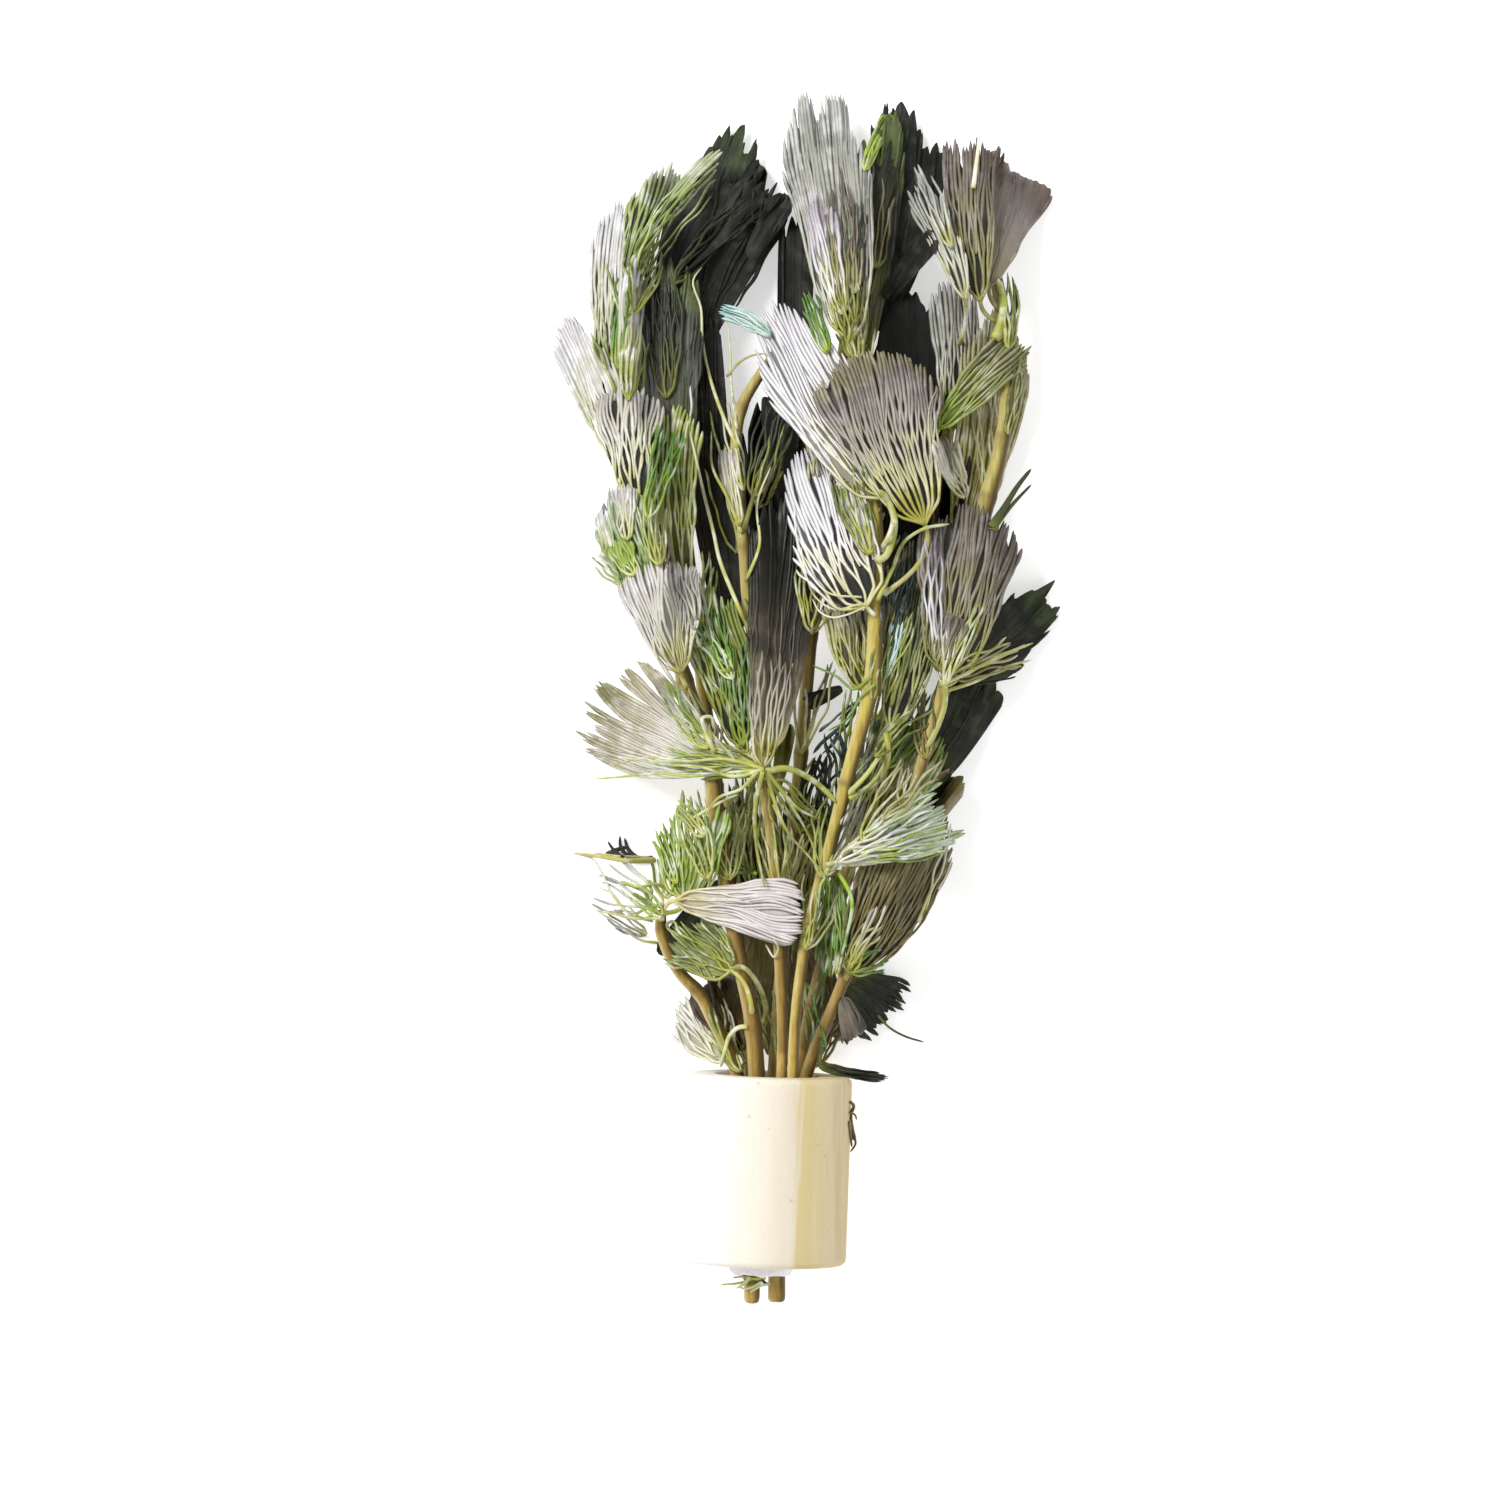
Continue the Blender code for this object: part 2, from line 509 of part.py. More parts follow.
def lay_leaf(heap, row, stems, laid):
    """Lays one leaf on the heap, and returns its closed solid's points, its faces and its root."""
    name, stem, leaves_at, foot, bend, tip, width, foot_height, tip_height, _ = row
    root = stem_at(stems[stem], leaves_at)
    fingers = int(min(7, max(3, round(width / FINGER_WIDTH))))
    habit = (fingers, ROUNDER.get(name, RIM_DROP), OPENS.get(name, OPENING))
    points, along, aside, rows, triangles = leaf_plan(root[:2], foot, bend, tip, width, *habit)
    half_thickness = np.interp(along, [0.3, 1], [LEAF_THICKNESS / 2, TIP_THICKNESS / 2])
    clear = root[3] + GAP + LEAF_THICKNESS / 2
    root_height = root[2] + (clear if stem in laid else -clear)
    fan = np.clip(along, 0, 1)
    rise = np.clip(1 + along, 0, 1) ** 1.5
    height = root_height + (foot_height - root_height) * rise + (tip_height - foot_height) * fan**1.6
    spine_x = np.interp(along, [-1, 0, 1], [root[0], foot[0], tip[0]])
    height = height - LEAN * (spine_x - MIDDLE_X) * (points[:, 0] - spine_x)
    height = height - DROOP * aside**2 * fan
    height = settle(heap, points, triangles, np.maximum(height, half_thickness), half_thickness)
    count = len(points)
    upper = np.column_stack([points, height + half_thickness])
    lower = np.column_stack([points, height - half_thickness])
    faces = [t for t in triangles] + [tuple(k + count for k in reversed(t)) for t in triangles]
    left = [labels[0][1] for labels in rows]
    right = [labels[-1][1] for labels in rows]
    rim = [index for _, index in rows[-1]]
    border = left[::-1] + right + rim[-2:0:-1]
    for here, after in zip(border, border[1:] + border[:1]):
        faces.append((here, here + count, after + count, after))
    return np.vstack([upper, lower]).tolist(), faces, root[:3]


def centre_on_floor(bunch):
    """Moves the bunch so that the middle of its footprint stands over the origin."""
    bpy.context.view_layer.update()
    corners = [
        obj.matrix_world @ vertex.co
        for obj in bunch.children
        if not obj.hide_render
        for vertex in obj.data.vertices
    ]
    low = [min(c[k] for c in corners) for k in range(3)]
    high = [max(c[k] for c in corners) for k in range(3)]
    bunch.matrix_world = Matrix.Translation((-(low[0] + high[0]) / 2, -(low[1] + high[1]) / 2, -low[2]))


def main():
    clear_scene()
    bunch = bpy.data.objects.new("bunch", None)
    bpy.context.scene.collection.objects.link(bunch)
    size = (np.array(FIELD_HIGH) - np.array(FIELD_LOW)) / CELL
    heap = np.full((int(size[1]) + 2, int(size[0]) + 2), -GAP)
    stems = {name: np.array(path, float) for name, path in STEMS.items()}
    laid = set()
    for row in LAID_IN_ORDER:
        if isinstance(row, str):
            stems[row] = lay_stem(heap, stems[row])
            laid.add(row)
            points, faces = tube(stems[row])
            tone = "stem_green" if row == "middle_main" else "stem_tan"
            skin = finish("stem_" + row, tone, 0.5)
            new_object("stem_" + row, points, faces, stems[row][0][:3], skin, bunch)
        else:
            points, faces, root = lay_leaf(heap, row, stems, laid)
            name = "leaf_" + row[0]
            new_object(name, points, faces, root, finish(name, row[-1], 0.45), bunch)
    make_ring(bunch)
    make_foam(stems, bunch)
    centre_on_floor(bunch)


main()
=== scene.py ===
"""Looks for a cut bunch of cabomba that lies on its side, its stems in a bisque ring with a foam plug.

Sizes are millimetres in the ring's own frame until a mesh is made: x across, y along the ring's axis
from its lower end towards the leaf tips, z up from the surface. Stems and leaves repeat the layout of
the solids, and take their heights from the solids themselves.
"""

import math
from functools import cache

import bpy
import numpy as np
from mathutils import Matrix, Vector
from mathutils.bvhtree import BVHTree


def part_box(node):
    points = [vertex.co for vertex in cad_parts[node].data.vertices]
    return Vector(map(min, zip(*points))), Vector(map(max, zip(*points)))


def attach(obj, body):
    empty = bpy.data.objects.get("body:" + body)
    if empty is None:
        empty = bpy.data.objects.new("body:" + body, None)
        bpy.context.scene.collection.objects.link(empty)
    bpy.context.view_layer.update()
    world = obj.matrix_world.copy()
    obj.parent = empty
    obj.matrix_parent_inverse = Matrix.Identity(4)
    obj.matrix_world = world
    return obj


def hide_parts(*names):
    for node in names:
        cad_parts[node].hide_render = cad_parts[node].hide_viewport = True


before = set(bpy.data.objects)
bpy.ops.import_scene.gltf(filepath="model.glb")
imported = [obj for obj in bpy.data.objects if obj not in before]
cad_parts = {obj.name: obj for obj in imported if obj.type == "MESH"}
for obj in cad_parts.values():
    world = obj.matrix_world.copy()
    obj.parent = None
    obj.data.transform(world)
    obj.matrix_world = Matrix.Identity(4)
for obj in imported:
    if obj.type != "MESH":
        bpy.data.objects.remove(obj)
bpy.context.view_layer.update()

MM = 0.001
RING_LOW, RING_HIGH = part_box("ceramic_ring")
FRAME_ORIGIN = np.array([(RING_LOW.x + RING_HIGH.x) / 2, RING_LOW.y, 0.0])
RING_RADIUS = (RING_HIGH.z - RING_LOW.z) / 2 / MM
RING_LENGTH = (RING_HIGH.y - RING_LOW.y) / MM
# The bore's radius, and how far the ring's outer edges and the bore's are rounded.
RING_BORE = 8.4
RING_ROUNDING = 1.1
BORE_ROUNDING = 0.5

# How the solids of leaves are laid out: the width of a stalk, how far before the fan's foot it bends (a
# share of the stalk), how deep the notches between the fingers of a rim are and how far a rim falls back
# towards its sides (shares of the fan), and about how wide a finger is. Then the rounder rims.
STALK_WIDTH = 0.95
STALK_BEND = 0.45
FINGER_NOTCH = 0.1
RIM_DROP = 0.11
FINGER_WIDTH = 2.2
FEWEST_FINGERS, MOST_FINGERS = 3, 7
ROUNDER = {"silver_top": 0.2, "silver_net": 0.3, "mauve_fan": 0.2, "mauve_right": 0.18, "black_round": 0.18}

# How fast a fan opens: its half width grows with its length to this power. Most leaves, then others.
OPENING = 0.45
OPENS = {
    "fan_left": 0.95, "white_right": 0.8, "silver_right_top": 0.8, "white_near": 0.65, "mauve_left": 0.6,
    "green_hanging": 0.6, "white_long": 0.55, "mauve_right": 0.38, "silver_net": 0.3,
}

# Where a leaf's looks differ a little from its solid: other values for its layout, and its rim as places
# (across, along) that are joined by straight lines.
SHOWN = {
    "silver_top": dict(width=15.5, rim=[
        (-1, 0.93), (-0.88, 1.04), (-0.5, 1.06), (-0.27, 1.04), (-0.15, 0.93), (0.05, 1.0), (0.5, 1.04),
        (0.58, 0.93), (0.8, 0.9), (1, 0.83)]),
    "brown_far_right": dict(opening=0.75, width=13.6, rim=[
        (-1, 1.15), (-0.64, 1.06), (-0.21, 0.94), (0.2, 0.94), (0.6, 0.97), (0.9, 1.02), (1, 0.98)]),
    "silver_near_left": dict(width=12, tip=(-14.6, 44.8), bend=(-10, 36.4), rim=[
        (-1, 0.8), (0.2, 1.0), (1, 1.0)]),
    "rim_right": dict(foot=(8.4, 33.2), bend=(12.6, 31.2), tip=(20.6, 30.9), width=1.8),
    "olive_near_right": dict(rim=[(-1, 1.0), (0.3, 1.0), (0.6, 0.95), (1, 0.9)]),
    "brown_right_upper": dict(rim=[
        (-1, 0.95), (-0.6, 1.0), (-0.2, 1.06), (0.25, 1.1), (0.6, 1.0), (1, 0.88)]),
    "silver_net": dict(width=17.5, rim=[
        (-1, 0.36), (-0.95, 0.5), (-0.85, 0.62), (-0.7, 0.7), (-0.6, 0.86), (-0.5, 0.97), (-0.2, 1.02),
        (0.1, 1.0), (0.3, 0.95), (0.59, 0.9), (0.8, 0.8), (1, 0.5)]),
    "white_long": dict(opening=0.4, width=18, rim=[
        (-1, 0.74), (-0.8, 0.86), (-0.53, 0.95), (0, 1.0), (0.33, 0.98), (0.5, 0.9), (0.7, 0.78), (1, 0.5)]),
    "black_top_middle": dict(rim=[(-1, 0.5), (-0.2, 0.56), (-0.02, 0.97), (1, 1.0)]),
    "black_core": dict(rim=[(-1, 1.0), (0.2, 1.0), (0.36, 0.76), (1, 0.7)]),
    "yellow_left": dict(width=14.5, tip=(-14.6, 78.2), rim=[(-1, 0.8), (-0.6, 0.95), (0, 1.0), (1, 1.0)]),
    "mauve_fan": dict(width=21, opening=0.5, tip=(12.6, 151.4), bend=(15.8, 136.5), rim=[
        (-1, 1.06), (-0.8, 1.04), (-0.4, 1.01), (0.1, 0.97), (0.5, 0.98), (0.8, 0.95), (1, 0.8)]),
    "black_crown": dict(rim=[
        (-1, 0.84), (-0.76, 0.97), (-0.38, 1.04), (-0.2, 1.0), (0.06, 1.08), (0.3, 0.99), (0.5, 1.03),
        (0.84, 1.0), (1, 0.9)]),
    "black_shoulder": dict(rim=[
        (-1, 0.82), (-0.78, 0.91), (-0.4, 0.97), (-0.11, 1.05), (0.2, 1.07), (0.5, 1.14), (0.8, 1.17),
        (1, 1.04)]),
    "black_top_right": dict(rim=[
        (-1, 0.88), (-0.85, 0.94), (-0.65, 1.0), (-0.26, 1.05), (-0.1, 1.01), (0.15, 1.02), (0.3, 0.95),
        (0.5, 0.92), (0.62, 0.92), (0.89, 0.91), (1, 0.84)]),
    "olive_top_right": dict(rim=[
        (-1, 1.06), (-0.83, 1.06), (-0.41, 1.05), (0, 1.09), (0.37, 1.16), (0.61, 1.18), (0.83, 1.08),
        (1, 1.0)]),
    "black_arrow": dict(width=16, rim=[
        (-1, 0.62), (-0.73, 0.76), (-0.5, 0.98), (-0.24, 1.16), (0.0, 0.98), (0.3, 1.08), (0.45, 0.96),
        (0.56, 0.8), (1, 0.5)]),
    "mauve_right": dict(width=17.5),
    "spiky_dark": dict(width=4.4),
    "silver_far_left": dict(rim=[
        (-1, 1.0), (-0.89, 1.05), (0.2, 1.04), (0.46, 0.98), (0.6, 0.88), (1, 0.8)]),
    "green_left_top": dict(rim=[
        (-1, 0.66), (-0.85, 0.72), (-0.26, 0.9), (0.2, 0.97), (0.42, 1.04), (0.7, 0.99), (1, 1.1)]),
    "streaks_right_top": dict(rim=[
        (-1, 1.04), (-0.67, 1.01), (-0.25, 0.92), (0.1, 0.95), (0.4, 0.98), (0.67, 0.94), (1, 0.98)]),
    "silver_right_top": dict(rim=[
        (-1, 0.88), (-0.7, 0.9), (-0.26, 1.0), (0.19, 0.98), (0.32, 0.86), (0.57, 0.74), (0.75, 0.56),
        (1, 0.4)]),
    "fan_left": dict(rim=[(-1, 0.93), (-0.8, 1.0), (0, 1.02), (0.76, 1.0), (1, 0.94)]),
    "white_near": dict(width=11, rim=[(-1, 1.06), (-0.5, 1.05), (0, 1.03), (0.5, 1.08), (1, 1.1)]),
    "black_round": dict(rim=[(-1, 0.93), (-0.6, 1.0), (0, 1.02), (0.6, 1.0), (1, 0.94)]),
}

# Each stem: points (x, y, radius) from its cut end to where it fades among the leaves.
STEMS = {
    "left_low": [
        (-2.2, 2, 1.1), (-2.4, 15, 1.1), (-2.8, 31, 1.1), (-4.5, 45, 1.1), (-7, 60, 1.1), (-10, 78, 1.1),
        (-13, 95, 1.1), (-15.5, 112, 1.1), (-18, 130, 1.0), (-19.5, 147, 0.9), (-19, 158, 0.8),
    ],
    "centre_low": [
        (2.8, -6.6, 1.45), (2.6, 0, 1.4), (1.6, 15, 1.3), (1.2, 31, 1.2), (1.6, 45, 1.1), (2.2, 60, 1.1),
        (3.5, 80, 1.1), (4.5, 100, 1.1), (5.6, 120, 1.1), (7.5, 140, 1.0), (9, 158, 0.9),
    ],
    "right_low": [
        (5.2, 2, 1.1), (5.0, 15, 1.1), (5.2, 31, 1.1), (7.5, 45, 1.1), (11, 60, 1.1), (15, 76, 1.1),
        (18.5, 92, 1.1), (21.5, 108, 1.1), (24, 124, 1.1), (26.5, 140, 1.0), (27.5, 156, 0.9),
    ],
    "left_short": [
        (-4.6, 2, 1.1), (-4.7, 15, 1.1), (-5.0, 31, 1.1), (-6.6, 35, 1.1), (-9.2, 39.5, 1.05),
        (-12, 44.3, 1.0), (-14.8, 47, 1.0), (-17, 50.5, 1.0), (-18.3, 54, 0.95), (-18.6, 57.5, 0.9),
    ],
    "right": [
        (6.2, 2, 1.05), (6.2, 15, 1.05), (6.4, 31, 1.05), (8.3, 37, 1.05), (10.4, 42.5, 1.0),
        (12.4, 48, 1.0), (15, 54, 1.0), (17.8, 61, 1.0), (20.4, 70, 1.0), (22.6, 79, 1.0),
        (24.6, 87, 1.0), (27, 96, 1.05), (29.4, 108, 1.1), (31.4, 118, 1.2), (33, 127.5, 1.4),
        (34.6, 134, 1.3), (35.4, 141, 1.1), (35.2, 150, 1.15), (34.2, 159, 1.2), (32.2, 168, 0.9),
    ],
    "left": [
        (-1.3, -6.8, 1.3), (-1.4, 0, 1.35), (-1.5, 15, 1.4), (-1.8, 31, 1.4), (-2.9, 40, 1.3),
        (-5.4, 50, 1.15), (-7.2, 58, 1.15), (-8.6, 66, 1.25), (-10.4, 76, 1.3), (-11.7, 85, 1.3),
        (-14.2, 91, 1.35), (-16.4, 97, 1.3), (-20, 110, 1.2), (-23.5, 124, 1.1), (-26.2, 140, 1.0),
        (-27.5, 155, 0.9), (-25.5, 166, 0.8),
    ],
    "middle": [
        (2.0, 2, 0.9), (2.2, 15, 0.9), (2.3, 31, 0.9), (2.1, 40, 0.9), (1.5, 48, 0.95), (0.7, 58, 1.0),
        (0.0, 66, 1.1), (-1.0, 73, 1.15), (-2.2, 80, 1.15), (-3.3, 90, 1.1), (-4.2, 99, 1.05),
        (-5.9, 109, 1.1), (-6.9, 118, 1.0), (-7.9, 126, 0.9), (-8.8, 134, 0.95), (-8.2, 140.5, 0.95),
        (-5.4, 146, 0.85), (-2.5, 150.5, 0.7),
    ],
    "middle_main": [
        (4.2, 1, 0.95), (4.1, 15, 0.95), (4.1, 31, 0.9), (4.2, 40, 0.9), (4.7, 47, 0.9), (5.5, 53, 0.95),
        (6.8, 60, 1.0), (8.2, 65.5, 1.05), (9.4, 71, 1.1), (10.9, 78, 1.15), (12.4, 85, 1.2),
        (13.9, 91, 1.25), (14.8, 96, 1.35), (15.1, 104, 1.35), (15.1, 112, 1.3), (14.9, 119, 1.15),
        (14.3, 127, 1.0), (13, 139, 0.95), (11.2, 151, 0.85), (10.5, 160, 0.7),
    ],
}

# Where a stem swells and shows a brown ring, as distances along the bunch.
JOINTS_ON_STEM = {
    "left_low": (44, 63, 82, 101, 120, 139),
    "centre_low": (40, 62, 84, 104, 124, 144),
    "right_low": (42, 64, 84, 104, 126, 146),
    "left_short": (44.5, 54),
    "right": (48, 72, 96, 127.5, 137.4, 150),
    "left": (38.5, 56, 75, 85, 95.5, 110, 124, 140, 155),
    "middle": (62, 81, 101, 118, 127, 140.5),
    "middle_main": (52, 64, 79.5, 95.5, 108, 117, 131, 146),
}

# Each leaf: name, stem, how far along the bunch it leaves that stem, foot of its fan, bend, tip, width,
# its material slot, and its skin where that is another one.
LEAVES = [
    ("black_crown", "left_low", 148, (-21, 155), (-14.5, 172), (-9.8, 187.8), 12, "black", "black_olive"),
    ("black_shoulder", "left_low", 140, (-18.5, 147), (-17.5, 164), (-9.2, 179), 21, "black"),
    ("black_core", "left_low", 92, (-8, 102), (-12, 126), (-13.6, 158), 13.5, "black"),
    ("black_top_middle", "centre_low", 108, (2.5, 117), (-2.5, 146), (-3, 178.2), 12.5, "black"),
    ("black_top_right", "centre_low", 150, (13, 154), (17.8, 172), (17.8, 193), 16.5, "black"),
    ("black_round", "right_low", 96, (18, 108), (21.5, 132), (18.9, 162), 15, "black", "deep_shade"),
    ("black_wedge", "right", 73, (23.6, 78.5), (27.6, 86.5), (33.8, 100), 12.5, "black", "black_olive"),
    ("black_arrow", "right", 92, (29.5, 98), (35.6, 102.4), (44.6, 111.4), 14, "black", "black_olive"),
    ("brown_near", "centre_low", 66, (1.2, 60), (1, 47), (1.5, 32), 27, "brown", "brown_olive"),
    ("net_near_right", "right", 45, (12, 46.8), (15.5, 44.8), (22.2, 39.6), 12.5, "black", "black_olive"),
    ("dark_centre_near", "centre_low", 48, (1.4, 54), (0.6, 67), (-0.8, 85), 22, "black", "yellow_on_black"),
    ("olive_left_long", "left_low", 114, (-17.5, 120), (-21.3, 144), (-21.2, 167.3), 13, "olive"),
    ("green_left_inner", "left_low", 104, (-16.5, 110), (-20.5, 126), (-19, 141.5), 10,
        "green", "pale_green"),
    ("olive_top_right", "centre_low", 146, (11.8, 150), (12.8, 168), (13.8, 187), 9, "olive"),
    ("green_behind", "right_low", 60, (13.2, 66), (17.5, 77), (23.8, 93), 14, "green", "yellow_green"),
    ("silver_right_inner", "right_low", 132, (26.8, 138.5), (27.6, 150), (26, 164.5), 8.5,
        "silver", "grey_silver"),
    ("brown_right_upper", "right_low", 110, (28.5, 118), (33.2, 136), (34.2, 158), 13, "brown", "olive_tan"),
    ("silver_near_left", "left_short", 33, (-6.4, 33.4), (-9.6, 35.8), (-14.8, 42.2), 10.5,
        "silver", "cream"),
    ("green_hanging", "middle", 80, (-1.2, 79.4), (2.2, 76), (6.2, 67.5), 10, "green", "yellow_green"),
    ("spiky_dark", "middle_main", 91, (12.2, 92.5), (9, 88.5), (3.9, 82.8), 7, "black", "blue_black"),
    ("olive_centre_right", "middle_main", 93, (13.4, 95), (10.8, 101), (9.8, 111), 8,
        "olive", "yellow_olive"),
    ("green_folded", "middle_main", 64.5, (9.8, 63.6), (11, 59), (9.2, 46.5), 5.5, "bright", "pale_green"),
    ("olive_near_right", "right", 47, (13, 48.5), (19, 58.5), (26, 78), 17, "brown", "brown_olive"),
    ("olive_right_inner", "middle_main", 77, (18.2, 88.5), (21.8, 103), (24, 121), 12,
        "olive", "yellow_to_dark"),
    ("mauve_right", "right", 95.5, (27, 97.8), (29.5, 112), (31, 126.6), 16, "mauve", "mauve_grey"),
    ("bright_right", "right_low", 134, (24.6, 138.6), (30, 146), (38.6, 154.4), 7.5,
        "bright", "bright_to_olive"),
    ("brown_far_right", "right", 158, (32, 162), (33.2, 172), (37.3, 183.8), 13, "brown", "mauve_brown"),
    ("streaks_right_top", "right", 156, (30.5, 159.5), (28.2, 172), (28, 189), 9, "mauve", "mauve_grey"),
    ("silver_right_top", "right_low", 152, (28, 159.5), (24.4, 171), (19.2, 183.4), 9,
        "silver", "grey_silver"),
    ("silver_left_edge", "left", 128, (-27.5, 135), (-31.8, 154), (-28.8, 177), 8.5, "silver", "streak"),
    ("green_left_top", "left", 156, (-27.5, 161), (-26, 172), (-22.2, 182.5), 7, "bright", "grey_green"),
    ("streak_left_top", "left", 160, (-26.5, 165), (-21.5, 174), (-12.6, 183.8), 3.6,
        "silver", "grey_green"),
    ("silver_far_left", "left", 118, (-25, 126.5), (-30.5, 140), (-38, 155.6), 9, "silver", "streak"),
    ("pale_left", "left", 116, (-24.5, 124), (-27, 134.5), (-26.2, 144), 11, "silver", "pale"),
    ("green_left", "left", 103, (-20.5, 107), (-26.6, 115), (-27.8, 128.4), 11.5, "bright", "teal_green"),
    ("green_centre_left", "middle", 80, (-5.8, 84.5), (-9.4, 97), (-13.6, 111), 11, "green", "yellow_green"),
    ("mauve_left", "left", 94, (-16.6, 96.6), (-19.6, 105), (-21, 115.4), 15, "mauve", "lilac"),
    ("dark_centre", "middle", 80.5, (-2.4, 83.5), (0.6, 100), (-0.6, 129), 13, "brown", "brown_to_black"),
    ("olive_centre_top", "middle", 120, (-5.7, 126), (-3.8, 134), (-0.8, 143.4), 7, "olive"),
    ("silver_top", "middle_main", 146, (9.4, 152), (6.3, 170), (3.4, 194), 14, "silver", "grey_silver"),
    ("rim_right", "right", 37.5, (9.8, 35.6), (14.5, 32.9), (20.6, 30.6), 2.4, "black", "black_olive"),
    ("yellow_left", "left_short", 57, (-14.6, 59.2), (-14, 66), (-15.2, 76.8), 13.5, "bright"),
    ("grey_left", "left_short", 56, (-20.5, 58), (-25, 61), (-32.6, 62.4), 12.5, "silver", "grey_silver"),
    ("green_near_left", "left", 40, (-6.6, 48.2), (-10.4, 50.2), (-17, 55.6), 11.5, "green", "yellow_green"),
    ("fan_left", "middle", 81, (-6.5, 82), (-17, 83.4), (-31.4, 93.8), 24, "mauve", "lilac_tan"),
    ("white_near", "left_short", 55.5, (-16.2, 59.2), (-6.5, 59.2), (4.8, 57.3), 11.5, "silver", "ivory"),
    ("white_right", "middle_main", 66, (10, 66.6), (20, 71.5), (31.4, 75.6), 12.5, "silver", "green_white"),
    ("silver_net", "middle_main", 107, (13.4, 108.6), (6.8, 117), (2.2, 135), 15.5, "silver", "white"),
    ("white_long", "middle_main", 117, (16.3, 126.3), (6, 139.5), (-4.4, 160.4), 15, "silver", "white"),
    ("mauve_fan", "middle_main", 110, (22.6, 122.3), (16.8, 136), (13.6, 151), 18, "mauve"),
]

# Where each level of forks begins, how much that varies, and how far the parting strands take, as
# shares of a fan's length.
FORKS = (-0.04, 0.12, 0.27, 0.42)
FORK_SPREAD = (0.0, 0.05, 0.08, 0.1)
FORK_REACH = (0.14, 0.2, 0.22, 0.25)

# Habits of a fan. Its strands: pitch is their spacing at the rim and stout their width where the fan is
# open, main says how many leave the foot (0 lets the fan's width say) and share how many of all are
# drawn. mesh is how long the net's meshes are, weave how far strands sway to make them (half pitches),
# strays how many stray strands a millimetre of width has, slits how many slits are left between closed
# strands, and filled how wide those are (pitches). As shares of the fan's length, close is where its gaps
# have closed and torn how deep its rim is torn, and gather is how far neighbouring tips draw together.
# Its sheet starts at sheet and ends at sheet_end (shares of the length); under an open net it is a
# dark backing of painted shade. The fingers of its rim are finger wide, it lies sheet_lift above the
# leaf's middle, its ridges are ridge high, and sheet_shade is how far it is painted towards the shade
# tone. The fan's tones start at tone_from.
HABIT = {
    "pitch": 0.62, "stout": 0.46, "main": 0, "share": 1.0, "mesh": 8.0, "weave": 0.85, "strays": 0.2,
    "slits": 0.7, "close": 0.6, "torn": 0.06, "gather": 0.15, "filled": 1.4,
    "sheet": 0.03, "sheet_end": 0.93, "finger": 1.6, "sheet_lift": -0.25, "ridge": 0.03, "sheet_shade": 1.0,
    "tone_from": 0.0,
}
# A dark leaf is a closed sheet nearly from its foot, with few loose strands on it.
DARK = {
    "share": 0.2, "stout": 0.3, "strays": 0.12, "torn": 0.07, "finger": 1.7, "gather": 0.5,
    "sheet_end": 1.0, "sheet_lift": 0.05, "ridge": 0.06, "sheet_shade": 0.0,
}
